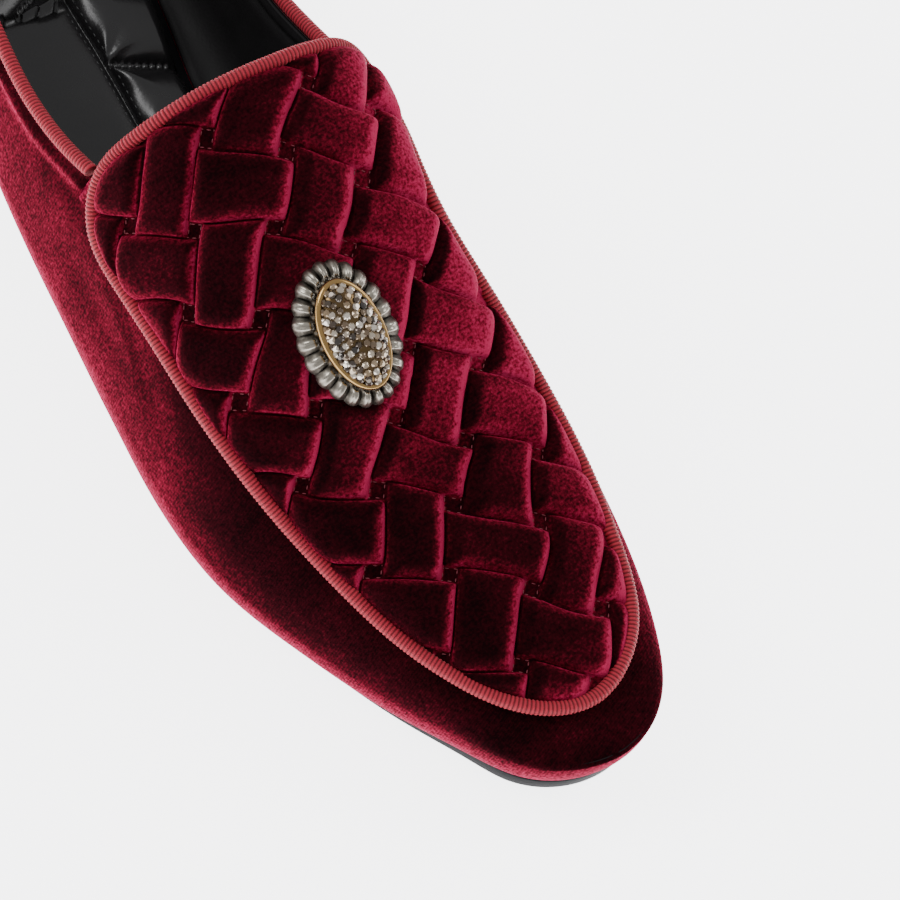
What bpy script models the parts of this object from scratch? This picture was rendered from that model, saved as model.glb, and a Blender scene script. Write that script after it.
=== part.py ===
"""Venetian loafer, right shoe, men's size 42, built on the function of its last.

Metres, +Z up. The toe points to -Y, the inner side of the foot is +X, and the shoe stands on z = 0.
Every piece is worked out from the driving dimensions and from the short tables of sections.
"""
import math

import bpy
import bmesh
import numpy as np
from mathutils import Matrix, Vector

# Driving dimensions of the last and the upper
LENGTH = 0.292            # upper, from the back of the heel to the tip of the toe
BALL_WIDTH = 0.0882       # upper at its widest, across the joint of the toes
UPPER_HEIGHT = 0.0755     # highest crown of the instep above the line where upper meets sole
CROWN_ROUNDNESS = 2.43    # exponent of a section's curve: 2 is an ellipse, more is squarer
UPPER_WALL = 0.002        # velvet and lining together
THROAT_BOW = 0.0042       # how far the back edge of the apron dips forward at the ridge

# Sole and heel
SOLE_THICKNESS = 0.0045
SOLE_EDGE = 0.0017        # outsole beyond the line where the upper meets it
SOLE_CHAMFER = 0.0007
HEEL_BLOCK_HEIGHT = 0.0107
TOP_PIECE_HEIGHT = 0.006
HEEL_TAPER = 0.0015       # heel block narrower at the floor than at the sole
HEEL_SHARE = 0.235        # front face of the heel, as a share of LENGTH
TOE_SPRING = 0.008
INSOLE_THICKNESS = 0.0042

# Apron, laid out flat and then wrapped over the last
TOE_MARGIN = 0.0124       # ridge left bare between the apron's piping and the tip of the toe
APRON_HALF_WIDTH = 0.056  # widest reach from the ridge, on the outer side
APRON_WALL = 0.0016       # backing of the quilting
APRON_SEAT = 0.0005       # backing above the upper, whose facets bulge a little
QUILT_HEIGHT = 0.0021     # strips above the backing
STRIP_PITCH = 0.0178
STRIP_WIDTH = 0.0137
STRIP_SHOULDER = 0.003    # rounded edge of a strip
WEAVE_TURN = math.radians(36.8)
WEAVE_ACROSS = -0.0061    # one crossing of the weave, from the ridge
WEAVE_ALONG = 0.1009      # the same crossing, from the throat
PIPING_DIAMETER = 0.0035

# Brooch
BROOCH_LENGTH = 0.0350
BROOCH_WIDTH = 0.0226
BROOCH_ALONG = 0.0660     # centre, from the throat
BROOCH_ACROSS = -0.0098   # centre, from the ridge
BROOCH_RIM_HEIGHT = 0.0034
BROOCH_FLUTES = 22
FLUTE_DEPTH = 0.0007
COLLET_WIDTH = 0.0016     # plan width of the smooth ring inside the rim
COLLET_HEIGHT = 0.0016    # ring above the rim
STONE_DOME_HEIGHT = 0.0036
DISH_SHARE = 0.64         # flat inside of the rim, as a share of the brooch's half width
OVAL_SHARES = (0.66, 0.33, 0.04)  # rings that fill a flat oval, so that it can bend with the vamp

# Section of the brooch's rim, from its foot up to the dish.
# inset, height: shares of BROOCH_RIM_HEIGHT. fluting: how much of FLUTE_DEPTH shows there.
RIM = (
    (0.47, 0.00, 0),
    (0.00, 0.30, 1),
    (0.12, 0.60, 1),
    (0.65, 0.95, 1),
)

GAP = 0.0003              # between pieces that touch

# A section of the last for each station, from heel to toe.
# station: share of LENGTH. width, swing, lean, tuck_out, tuck_in: shares of BALL_WIDTH.
# belly, crown: heights of the widest line and of the ridge above the sole, shares of UPPER_HEIGHT.
# lift: share of the heel's height. spring: share of TOE_SPRING.
SECTION_COLUMNS = ("station", "width", "swing", "lean", "belly", "crown",
                   "tuck_out", "tuck_in", "lift", "spring")
SECTIONS = (
    (0.00, 0.000, 0.006, 0.000, 0.219, 0.219, 0.057, 0.057, 1.00, 0.00),
    (0.03, 0.438, 0.001, 0.000, 0.219, 0.536, 0.057, 0.057, 1.00, 0.00),
    (0.08, 0.631, -0.020, 0.015, 0.205, 0.775, 0.068, 0.068, 1.00, 0.00),
    (0.15, 0.755, -0.041, 0.048, 0.199, 0.881, 0.084, 0.079, 1.00, 0.00),
    (0.25, 0.785, -0.067, 0.102, 0.179, 0.942, 0.101, 0.113, 0.97, 0.00),
    (0.35, 0.824, -0.095, 0.125, 0.187, 0.989, 0.116, 0.147, 0.76, 0.00),
    (0.45, 0.877, -0.093, 0.106, 0.225, 1.000, 0.129, 0.159, 0.42, 0.00),
    (0.55, 0.936, -0.077, 0.090, 0.243, 0.931, 0.131, 0.136, 0.12, 0.00),
    (0.64, 0.991, -0.056, 0.087, 0.227, 0.768, 0.124, 0.091, 0.00, 0.00),
    (0.72, 1.008, -0.015, 0.075, 0.197, 0.568, 0.113, 0.057, 0.00, 0.00),
    (0.80, 0.913, 0.037, 0.059, 0.179, 0.452, 0.099, 0.045, 0.00, 0.10),
    (0.87, 0.778, 0.076, 0.037, 0.170, 0.366, 0.086, 0.042, 0.00, 0.32),
    (0.93, 0.608, 0.105, 0.017, 0.164, 0.281, 0.073, 0.043, 0.00, 0.60),
    (0.97, 0.443, 0.112, 0.014, 0.157, 0.209, 0.058, 0.045, 0.00, 0.82),
    (1.00, 0.000, 0.127, 0.000, 0.145, 0.145, 0.048, 0.048, 0.00, 1.00),
)

# Height of the collar's edge, a share of UPPER_HEIGHT above the sole, on the outer and the inner side.
COLLAR_COLUMNS = ("station", "outer", "inner")
COLLAR = (
    (0.00, 0.580, 0.580),
    (0.10, 0.555, 0.555),
    (0.20, 0.498, 0.495),
    (0.30, 0.483, 0.440),
    (0.38, 0.559, 0.540),
    (0.43, 0.649, 0.650),
)

# Outline of the apron's piping, laid flat. along: share of the apron's length from throat to toe.
# outer, inner: reach from the ridge, shares of APRON_HALF_WIDTH.
APRON_COLUMNS = ("along", "outer", "inner")
APRON = (
    (0.000, 0.770, 0.410),
    (0.006, 0.820, 0.468),
    (0.022, 0.892, 0.541),
    (0.050, 0.978, 0.598),
    (0.090, 1.000, 0.604),
    (0.170, 0.948, 0.520),
    (0.270, 0.886, 0.474),
    (0.370, 0.832, 0.523),
    (0.480, 0.768, 0.571),
    (0.600, 0.698, 0.582),
    (0.700, 0.646, 0.532),
    (0.790, 0.577, 0.468),
    (0.870, 0.475, 0.404),
    (0.930, 0.368, 0.320),
    (0.975, 0.236, 0.175),
    (1.000, 0.000, 0.000),
)

THROAT = COLLAR[-1][0]    # station of the throat, where the collar ends
TOE_POLE = 0.86           # stations where the rows of the toe and of the heel close in a fan
HEEL_POLE = 0.13
QUARTER_COLUMNS = 17      # columns of faces on each side behind the throat, and in front of it
VAMP_COLUMNS = 25
SOLE_COLUMNS = 40         # faces along the outsole and the sock, and along the heel
HEEL_COLUMNS = 14
LOWER_ROWS = 3            # rows of faces below the widest line, up to the collar, and up to the ridge
SIDE_ROWS = 5
CROWN_ROWS = 6
EDGE_POINTS = 100         # points round the apron's edge and along its piping
COLLAR_POINTS = 30        # points along each side of the collar's piping
RING_COLUMNS = 36         # faces round the collet and the dome, and up the dome
DOME_COLUMNS = 24
DOME_RINGS = 5

UPPER_COLOUR = (0.165, 0.006, 0.022)
QUILT_COLOUR = (0.150, 0.005, 0.018)
RIBBON_COLOUR = (0.330, 0.030, 0.045)
LEATHER_COLOUR = (0.012, 0.012, 0.013)
SOLE_COLOUR = (0.030, 0.030, 0.032)
SILVER_COLOUR = (0.420, 0.390, 0.330)
BRASS_COLOUR = (0.480, 0.350, 0.180)
STONE_COLOUR = (0.520, 0.440, 0.320)


def clear_scene():
    """Remove every object, and make the two collections."""
    for item in list(bpy.data.objects):
        bpy.data.objects.remove(item, do_unlink=True)
    collections = []
    for name in ("venetian_loafer", "cutters"):
        collection = bpy.data.collections.new(name)
        bpy.context.scene.collection.children.link(collection)
        collections.append(collection)
    return collections


def rounded(share):
    """Angle for a share of a length: even steps of it crowd towards both ends, which then close round."""
    return np.arccos(1 - 2 * np.clip(share, 0, 1))


def smooth_curve(positions, values):
    """Cubic spline with continuous curvature through a column of a table, free at its ends."""
    positions = np.asarray(positions, float)
    values = np.asarray(values, float)
    steps = np.diff(positions)
    count = len(positions)
    matrix = np.eye(count)
    target = np.zeros(count)
    for k in range(1, count - 1):
        matrix[k, k - 1:k + 2] = (steps[k - 1], 2 * (steps[k - 1] + steps[k]), steps[k])
        target[k] = 6 * ((values[k + 1] - values[k]) / steps[k] - (values[k] - values[k - 1]) / steps[k - 1])
    bends = np.linalg.solve(matrix, target)

    def curve(at):
        at = np.clip(np.asarray(at, float), positions[0], positions[-1])
        k = np.clip(np.searchsorted(positions, at) - 1, 0, count - 2)
        step = steps[k]
        left = (positions[k + 1] - at) / step
        right = (at - positions[k]) / step
        bow = (left ** 3 - left) * bends[k] + (right ** 3 - right) * bends[k + 1]
        return left * values[k] + right * values[k + 1] + bow * step ** 2 / 6

    return curve


def level_curve(positions, values):
    """Curve through a column that keeps its flat stretches flat."""
    positions = np.asarray(positions, float)
    values = np.asarray(values, float)
    steps = np.diff(positions)
    slopes = np.diff(values) / steps
    tangents = np.zeros(len(positions))
    for k in range(1, len(positions) - 1):
        if slopes[k - 1] * slopes[k] > 0:
            tangents[k] = 2 * slopes[k - 1] * slopes[k] / (slopes[k - 1] + slopes[k])

    def curve(at):
        at = np.clip(np.asarray(at, float), positions[0], positions[-1])
        k = np.clip(np.searchsorted(positions, at) - 1, 0, len(steps) - 1)
        share = (at - positions[k]) / steps[k]
        start = (1 - share) ** 2 * ((1 + 2 * share) * values[k] + share * steps[k] * tangents[k])
        end = share ** 2 * ((3 - 2 * share) * values[k + 1] + (share - 1) * steps[k] * tangents[k + 1])
        return start + end

    return curve


def column(rows, names, name):
    """One named column of a table."""
    return [row[names.index(name)] for row in rows]


class Last:
    """The outer surface of the upper as a function of the station and of the place across a section."""

    def __init__(self):
        stations = rounded(np.array(column(SECTIONS, SECTION_COLUMNS, "station")))

        def curve(name, unit, kind=smooth_curve):
            values = np.array(column(SECTIONS, SECTION_COLUMNS, name)) * unit
            spline = kind(stations, values)
            return lambda station: spline(rounded(station))

        self.half = curve("width", BALL_WIDTH / 2)
        self.swing = curve("swing", BALL_WIDTH)
        self.lean = curve("lean", BALL_WIDTH, level_curve)
        self.belly = curve("belly", UPPER_HEIGHT)
        self.crown = curve("crown", UPPER_HEIGHT)
        self.tuck = {-1: curve("tuck_out", BALL_WIDTH, level_curve),
                     1: curve("tuck_in", BALL_WIDTH, level_curve)}
        lift = curve("lift", HEEL_BLOCK_HEIGHT + TOP_PIECE_HEIGHT + 2 * GAP, level_curve)
        spring = curve("spring", TOE_SPRING, level_curve)
        self.sole_top = lambda station: SOLE_THICKNESS + lift(station) + spring(station)
        collar_stations = column(COLLAR, COLLAR_COLUMNS, "station")
        self.collar = {}
        for side, name in ((-1, "outer"), (1, "inner")):
            self.collar[side] = smooth_curve(collar_stations, np.array(column(COLLAR, COLLAR_COLUMNS, name)))
        self.measure_panel()

    def along(self, station):
        """Y of a station."""
        return LENGTH / 2 - np.asarray(station, float) * LENGTH

    def feather(self, station):
        """Height of the upper's lower edge."""
        return self.sole_top(station) + GAP

    def surface(self, across, station):
        """Point at a share across the section: -1 outer widest line, 0 ridge, 1 inner widest line."""
        across = np.clip(across, -1, 1)
        rise = (1 - np.abs(across) ** CROWN_ROUNDNESS) ** (1 / CROWN_ROUNDNESS)
        belly = self.belly(station)
        x = self.swing(station) + self.half(station) * across + self.lean(station) * rise
        z = self.feather(station) + belly + (self.crown(station) - belly) * rise
        return np.stack([x, self.along(station) + 0 * x, z], -1)

    def fan(self, station, side, angle):
        """Share across and station for a column of faces, at an angle from the widest line to the ridge.

        In the toe and the heel the columns close on a pole, so that the ends have no thin faces.
        """
        reach = np.cos(angle) ** (2 / CROWN_ROUNDNESS)
        pole = float(np.clip(station, HEEL_POLE, TOE_POLE))
        inner_station = pole + (station - pole) * reach
        outline = float(self.half(station)) * reach
        width = max(float(self.half(inner_station)), 1e-6)
        if pole == station:
            return side * reach, station
        return side * min(outline / width, 1.0), inner_station

    def outline(self, stations, side):
        """Points of the widest line in plan with their outward directions."""
        def plan(station):
            return np.stack([self.swing(station) + side * self.half(station), self.along(station)], -1)
        angles = rounded(stations)
        before = (1 - np.cos(np.clip(angles - 0.004, 0, math.pi))) / 2
        after = (1 - np.cos(np.clip(angles + 0.004, 0, math.pi))) / 2
        tangent = plan(after) - plan(before)
        tangent /= np.linalg.norm(tangent, axis=1)[:, None]
        outward = np.stack([-tangent[:, 1], tangent[:, 0]], -1) * side
        outward[stations <= 0] = (0, 1)
        outward[stations >= 1] = (0, -1)
        return plan(stations), outward

    def measure_panel(self):
        """Lengths along the ridge and across the sections, for laying flat pieces on the last."""
        self.panel_stations = np.linspace(THROAT - 0.1, 0.995, 160)
        ridge = self.surface(np.zeros(160), self.panel_stations)
        steps = np.linalg.norm(np.diff(ridge, axis=0), axis=1)
        length = np.concatenate([[0], np.cumsum(steps)])
        self.panel_along = length - np.interp(THROAT, self.panel_stations, length)
        self.apron_length = float(self.panel_along[-1]) - TOE_MARGIN
        self.panel_angles = np.linspace(0, math.pi / 2, 48)
        self.panel_across = {}
        reach = np.sin(self.panel_angles) ** (2 / CROWN_ROUNDNESS)
        for side in (-1, 1):
            points = self.surface(side * reach[None, :] + 0 * self.panel_stations[:, None],
                                  self.panel_stations[:, None] + 0 * reach[None, :])
            steps = np.linalg.norm(np.diff(points, axis=1), axis=2)
            self.panel_across[side] = np.concatenate([np.zeros((160, 1)), np.cumsum(steps, 1)], 1)

    def on_panel(self, across, along):
        """Point of the surface at lengths measured over it: across from the ridge, along from the throat."""
        station = float(np.interp(along, self.panel_along, self.panel_stations))
        side = -1 if across < 0 else 1
        place = np.interp(station, self.panel_stations, np.arange(160))
        row = min(int(place), 158)
        table = self.panel_across[side]
        lengths = table[row] * (row + 1 - place) + table[row + 1] * (place - row)
        angle = float(np.interp(abs(across), lengths, self.panel_angles))
        point = self.surface(side * math.sin(angle) ** (2 / CROWN_ROUNDNESS), station)
        below = max(abs(across) - lengths[-1], 0)
        return Vector(point) - Vector((0, 0, below))

    def raised(self, across, along, height):
        """The same point, lifted off the surface, and the surface's outward direction there."""
        step = 0.001
        point = self.on_panel(across, along)
        sideways = self.on_panel(across + step, along) - self.on_panel(across - step, along)
        forwards = self.on_panel(across, along + step) - self.on_panel(across, along - step)
        outward = forwards.cross(sideways).normalized()
        return point + outward * height, outward


def material(name, colour, roughness, metallic=0.0):
    """Principled material of one piece."""
    result = bpy.data.materials.new(name)
    result.use_nodes = True
    shader = result.node_tree.nodes["Principled BSDF"]
    shader.inputs["Base Color"].default_value = (*colour, 1)
    shader.inputs["Roughness"].default_value = roughness
    shader.inputs["Metallic"].default_value = metallic
    return result


def make_object(name, mesh, collection, finish=None):
    """Object for a mesh, with its material."""
    item = bpy.data.objects.new(name, mesh)
    collection.objects.link(item)
    if finish:
        mesh.materials.append(finish)
    return item


def mesh_from_faces(name, points, faces):
    """Mesh from points and faces, with equal points joined and its faces turned outwards."""
    mesh = bpy.data.meshes.new(name)
    mesh.from_pydata([tuple(point) for point in points], [], faces)
    build = bmesh.new()
    build.from_mesh(mesh)
    bmesh.ops.remove_doubles(build, verts=build.verts, dist=0.00002)
    bmesh.ops.dissolve_degenerate(build, edges=build.edges, dist=0.00001)
    bmesh.ops.recalc_face_normals(build, faces=build.faces)
    build.to_mesh(mesh)
    build.free()
    return mesh


def station_steps(start, end, count):
    """Stations from start to end that crowd towards the round ends of the last."""
    angles = np.linspace(float(rounded(start)), float(rounded(end)), count + 1)
    return (1 - np.cos(angles)) / 2


def collar_angle(last, station, side):
    """Angle on a column of the quarters where the surface reaches the collar's edge."""
    low, high = 0.0, math.pi / 2
    for _ in range(40):
        angle = (low + high) / 2
        across, place = last.fan(station, side, angle)
        height = float(last.surface(across, place)[2]) - float(last.feather(place))
        if height < float(last.collar[side](place)) * UPPER_HEIGHT:
            low = angle
        else:
            high = angle
    return (low + high) / 2


def upper_column(last, station, side):
    """Points of one column of the upper, from the sole to the collar or to the ridge."""
    plan, outward = last.outline(np.array([station]), side)
    points = []
    tuck = float(last.tuck[side](station))
    belly = float(last.belly(station))
    for row in range(LOWER_ROWS):
        turn = math.pi / 2 * (1 - row / LOWER_ROWS)
        place = plan[0] - outward[0] * tuck * (1 - math.cos(turn))
        points.append((place[0], place[1], float(last.feather(station)) + belly * (1 - math.sin(turn))))
    side_angle = collar_angle(last, min(station, THROAT), side)
    angles = [side_angle * row / SIDE_ROWS for row in range(SIDE_ROWS + 1)]
    if station >= THROAT:
        rest = math.pi / 2 - side_angle
        angles += [side_angle + rest * row / CROWN_ROWS for row in range(1, CROWN_ROWS + 1)]
    for angle in angles:
        across, place = last.fan(station, side, angle)
        if station >= THROAT:
            fade = max(1 - (station - THROAT) / (TOE_POLE - THROAT), 0) ** 2
            place += THROAT_BOW / LENGTH * math.sin(angle) ** 4 * fade
        points.append(tuple(last.surface(across, place)))
    return points


def build_upper(last, collection):
    """Vamp and quarters: one shell, open underneath, at the collar and at the throat."""
    stations = np.concatenate([station_steps(0, THROAT, QUARTER_COLUMNS)[:-1],
                               station_steps(THROAT, 1, VAMP_COLUMNS)])
    loop = [(station, -1) for station in stations] + [(station, 1) for station in stations[-2:0:-1]]
    columns = [upper_column(last, station, side) for station, side in loop]
    points = []
    numbers = []
    for entry in columns:
        numbers.append(list(range(len(points), len(points) + len(entry))))
        points += entry
    faces = []
    for k, first in enumerate(numbers):
        second = numbers[(k + 1) % len(numbers)]
        for row in range(min(len(first), len(second)) - 1):
            faces.append((first[row], second[row], second[row + 1], first[row + 1]))
    mesh = mesh_from_faces("upper", points, faces)
    turn_outwards(mesh)
    item = make_object("upper", mesh, collection, material("velvet", UPPER_COLOUR, 0.85))
    wall = item.modifiers.new("wall", "SOLIDIFY")
    wall.thickness = UPPER_WALL
    wall.offset = -1
    mesh.shade_smooth()
    return item


def turn_outwards(mesh):
    """Turn an open shell so that its faces look away from its middle."""
    build = bmesh.new()
    build.from_mesh(mesh)
    middle = sum((vert.co for vert in build.verts), Vector()) / len(build.verts)
    away = [face.normal.dot(face.calc_center_median() - middle) * face.calc_area() for face in build.faces]
    if sum(away) < 0:
        bmesh.ops.reverse_faces(build, faces=build.faces)
    build.to_mesh(mesh)
    build.free()


def plate(name, last, stations, inset, levels, collection, finish):
    """Flat piece with the outline of the last.

    inset(station, side) is how far its edge lies inside the widest line, and each level is a further
    inset and a height as a function of the station, from the lowest to the highest.
    """
    loop = [(station, -1) for station in stations]
    loop += [(station, 1) for station in stations[::-1] if 0 < station < 1]
    points = []
    for further, height in levels:
        for station, side in loop:
            plan, outward = last.outline(np.array([station]), side)
            place = plan[0] - outward[0] * (inset(station, side) + further)
            points.append((place[0], place[1], float(height(station))))
    count = len(loop)
    faces = []
    for level in range(len(levels) - 1):
        for k in range(count):
            low, high = level * count, (level + 1) * count
            following = (k + 1) % count
            faces.append((low + k, low + following, high + following, high + k))
    partner = {station: [k for k, entry in enumerate(loop) if entry[0] == station] for station in stations}
    top = (len(levels) - 1) * count
    for first, second in zip(stations, stations[1:]):
        strip = partner[first] + partner[second][::-1]
        faces.append(tuple(strip))
        faces.append(tuple(top + k for k in reversed(strip)))
    mesh = mesh_from_faces(name, points, faces)
    item = make_object(name, mesh, collection, finish)
    mesh.shade_smooth()
    mesh.set_sharp_from_angle(angle=math.radians(35))
    return item


def build_sole(last, collection):
    """Outsole, heel block and its wearing piece, and the sock inside."""
    whole = station_steps(0, 1, SOLE_COLUMNS)
    heel = station_steps(0, HEEL_SHARE, HEEL_COLUMNS)

    def sole_inset(station, side):
        return float(last.tuck[side](station)) - SOLE_EDGE

    def sole_bottom(station):
        return last.sole_top(station) - SOLE_THICKNESS

    leather = material("sole_leather", SOLE_COLOUR, 0.45)
    plate("outsole", last, whole, sole_inset, (
        (SOLE_CHAMFER, sole_bottom),
        (0, lambda station: sole_bottom(station) + SOLE_CHAMFER),
        (0, lambda station: last.sole_top(station) - SOLE_CHAMFER),
        (SOLE_CHAMFER, last.sole_top)), collection, leather)
    plate("heel_block", last, heel, sole_inset, (
        (SOLE_CHAMFER + HEEL_TAPER, lambda station: TOP_PIECE_HEIGHT + GAP),
        (SOLE_CHAMFER, lambda station: sole_bottom(station) - GAP)), collection,
        material("stacked_heel", LEATHER_COLOUR, 0.4))
    plate("heel_top_piece", last, heel, sole_inset, (
        (2 * SOLE_CHAMFER + HEEL_TAPER, lambda station: 0.0),
        (SOLE_CHAMFER + HEEL_TAPER, lambda station: SOLE_CHAMFER),
        (SOLE_CHAMFER + HEEL_TAPER, lambda station: TOP_PIECE_HEIGHT)), collection,
        material("heel_rubber", SOLE_COLOUR, 0.7))

    def sock_inset(station, side):
        return float(last.tuck[side](station)) + UPPER_WALL + 2 * GAP

    plate("insole", last, whole, sock_inset, (
        (0, lambda station: last.sole_top(station) + GAP),
        (0, lambda station: last.sole_top(station) + INSOLE_THICKNESS - SOLE_CHAMFER),
        (SOLE_CHAMFER, lambda station: last.sole_top(station) + INSOLE_THICKNESS)), collection,
        material("sock_leather", LEATHER_COLOUR, 0.3))


def apron_edge(last, inset):
    """Outline of the apron laid flat, as a closed list of points, inset from the piping's middle."""
    along_angles = rounded(np.array(column(APRON, APRON_COLUMNS, "along")))
    outer = smooth_curve(along_angles, np.array(column(APRON, APRON_COLUMNS, "outer")) * APRON_HALF_WIDTH)
    inner = smooth_curve(along_angles, np.array(column(APRON, APRON_COLUMNS, "inner")) * APRON_HALF_WIDTH)
    angles = np.linspace(0, math.pi, EDGE_POINTS)
    along = (1 - np.cos(angles)) / 2 * last.apron_length
    back = np.linspace(float(inner(0)), -float(outer(0)), EDGE_POINTS // 3)[1:-1]
    across = np.concatenate([-outer(angles), inner(angles)[-2::-1], back])
    along = np.concatenate([along, along[-2::-1], 0 * back])
    along = along + throat_bow(across, along / last.apron_length)
    points = np.stack([across, along], -1)
    ahead = np.roll(points, -1, 0) - points
    length = np.concatenate([[0], np.cumsum(np.linalg.norm(ahead, axis=1))])
    closed = np.vstack([points, points[:1]])
    even = np.linspace(0, length[-1], EDGE_POINTS + 1)[:-1]
    points = np.stack([np.interp(even, length, closed[:, k]) for k in range(2)], -1)
    for _ in range(2):
        points = (np.roll(points, 1, 0) + 2 * points + np.roll(points, -1, 0)) / 4
    tangent = np.roll(points, -1, 0) - np.roll(points, 1, 0)
    tangent /= np.linalg.norm(tangent, axis=1)[:, None]
    return points + np.stack([tangent[:, 1], -tangent[:, 0]], -1) * inset


def throat_bow(across, share_along):
    """How far the apron's outline lies forward of its table's line, for the bow of its back edge."""
    share = np.clip(1 - (across / APRON_HALF_WIDTH) ** 2, 0, 1)
    return THROAT_BOW * share * np.clip(1 - share_along, 0, 1) ** 3


def weave_lines(reach):
    """Lines of the weave in one direction: both edges and both shoulders of each strip."""
    half = STRIP_WIDTH / 2
    marks = (-half, -half + STRIP_SHOULDER, half - STRIP_SHOULDER, half)
    count = math.ceil(reach / STRIP_PITCH)
    return [(strip, mark, strip * STRIP_PITCH + offset)
            for strip in range(-count, count + 1) for mark, offset in enumerate(marks)]


def build_apron(last, collection, cutters):
    """Quilted apron: laid flat with its strips raised, cut to its outline, and wrapped over the last."""
    longest = max(WEAVE_ALONG, last.apron_length - WEAVE_ALONG)
    lines = weave_lines(math.hypot(longest, APRON_HALF_WIDTH + abs(WEAVE_ACROSS)))
    points = []
    for strip_q, mark_q, along_q in lines:
        for strip_p, mark_p, along_p in lines:
            over = mark_q in (1, 2) if (strip_p + strip_q) % 2 == 0 else mark_p in (1, 2)
            x = WEAVE_ACROSS + along_p * math.cos(WEAVE_TURN) - along_q * math.sin(WEAVE_TURN)
            y = WEAVE_ALONG + along_p * math.sin(WEAVE_TURN) + along_q * math.cos(WEAVE_TURN)
            points.append((x, y, APRON_WALL + (QUILT_HEIGHT if over else 0)))
    size = len(lines)
    total = size * size
    points += [(x, y, 0) for x, y, _ in points]
    faces = []
    for row in range(size - 1):
        for place in range(size - 1):
            a, b, c, d = (row * size + place, row * size + place + 1,
                          (row + 1) * size + place + 1, (row + 1) * size + place)
            faces.append((a, b, c, d))
            faces.append((total + d, total + c, total + b, total + a))
    border = [k for k in range(size)] + [k * size + size - 1 for k in range(1, size)]
    border += [(size - 1) * size + k for k in range(size - 2, -1, -1)]
    border += [k * size for k in range(size - 2, 0, -1)]
    for k, corner in enumerate(border):
        following = border[(k + 1) % len(border)]
        faces.append((following, corner, total + corner, total + following))
    mesh = mesh_from_faces("apron", points, faces)
    item = make_object("apron", mesh, collection, material("quilted_velvet", QUILT_COLOUR, 0.85))

    edge = apron_edge(last, PIPING_DIAMETER / 2 + GAP)
    count = len(edge)
    low = [(x, y, -APRON_WALL) for x, y in edge]
    high = [(x, y, 2 * (APRON_WALL + QUILT_HEIGHT)) for x, y in edge]
    sides = [(k, (k + 1) % count, count + (k + 1) % count, count + k) for k in range(count)]
    cutter_faces = sides + [tuple(range(count - 1, -1, -1)), tuple(range(count, 2 * count))]
    cutter = make_object("apron_outline", mesh_from_faces("apron_outline", low + high, cutter_faces), cutters)
    cutter.hide_render = True
    cutter.display_type = "WIRE"
    cut = item.modifiers.new("outline", "BOOLEAN")
    cut.operation = "INTERSECT"
    cut.object = cutter
    bpy.context.view_layer.update()
    flat = bpy.data.meshes.new_from_object(item.evaluated_get(bpy.context.evaluated_depsgraph_get()))
    item.modifiers.clear()
    build = bmesh.new()
    build.from_mesh(flat)
    bmesh.ops.remove_doubles(build, verts=build.verts, dist=0.0001)
    bmesh.ops.triangulate(build, faces=build.faces)
    for vert in build.verts:
        vert.co = last.raised(vert.co.x, vert.co.y, APRON_SEAT + vert.co.z)[0]
    bmesh.ops.recalc_face_normals(build, faces=build.faces)
    build.to_mesh(flat)
    build.free()
    flat.name = "apron"
    item.data = flat
    flat.shade_smooth()
    flat.set_sharp_from_angle(angle=math.radians(40))
    return item


def cord(name, points, closed, collection, finish):
    """Round cord through points, closed or with filled ends, as a mesh."""
    curve = bpy.data.curves.new(name, "CURVE")
    curve.dimensions = "3D"
    curve.bevel_depth = PIPING_DIAMETER / 2
    curve.bevel_resolution = 1
    curve.use_fill_caps = not closed
    spline = curve.splines.new("POLY")
    spline.points.add(len(points) - 1)
    for knot, point in zip(spline.points, points):
        knot.co = (*point, 1)
    spline.use_cyclic_u = closed
    tube = make_object(name + "_line", curve, collection)
    bpy.context.view_layer.update()
    mesh = bpy.data.meshes.new_from_object(tube.evaluated_get(bpy.context.evaluated_depsgraph_get()))
    bpy.data.objects.remove(tube)
    build = bmesh.new()
    build.from_mesh(mesh)
    bmesh.ops.remove_doubles(build, verts=build.verts, dist=0.00001)
    bmesh.ops.recalc_face_normals(build, faces=build.faces)
    build.to_mesh(mesh)
    build.free()
    mesh.name = name
    mesh.materials.clear()
    mesh.shade_smooth()
    return make_object(name, mesh, collection, finish)


def collar_line(last, count):
    """Middle of the collar's piping, seated on the upper's edge, from throat to throat round the heel."""
    end = THROAT - (PIPING_DIAMETER / 2 + 2 * GAP) / LENGTH
    stations = station_steps(0, end, count)
    loop = [(station, -1) for station in stations[::-1]] + [(station, 1) for station in stations[1:]]
    points = []
    for station, side in loop:
        angle = collar_angle(last, station, side)
        edge = Vector(last.surface(*last.fan(station, side, angle)))
        above = Vector(last.surface(*last.fan(station, side, angle + 0.02)))
        up = (above - edge).normalized()
        points.append((edge, up))
    line = []
    for k, (edge, up) in enumerate(points):
        before = points[max(k - 1, 0)][0]
        after = points[min(k + 1, len(points) - 1)][0]
        outward = (after - before).cross(up).normalized()
        line.append(edge + up * (PIPING_DIAMETER / 2 + GAP) - outward * (UPPER_WALL / 2))
    return line


def trim_ends(line, other, clearance):
    """Leave out the points at each end of a line that lie too near another line."""
    def near(point):
        return min((point - place).length for place in other) < clearance
    start = 0
    while near(line[start]):
        start += 1
    end = len(line)
    while near(line[end - 1]):
        end -= 1
    return line[start:end]


def build_piping(last, collection):
    """Cords round the apron and along the collar."""
    ribbon = material("ribbed_ribbon", RIBBON_COLOUR, 0.6)
    height = PIPING_DIAMETER / 2 + GAP
    around = [last.raised(across, along, height)[0] for across, along in apron_edge(last, 0)]
    cord("apron_piping", around, True, collection, ribbon)
    collar = trim_ends(collar_line(last, COLLAR_POINTS), around, PIPING_DIAMETER + 2 * GAP)
    cord("collar_piping", collar, False, collection, ribbon.copy())


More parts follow.
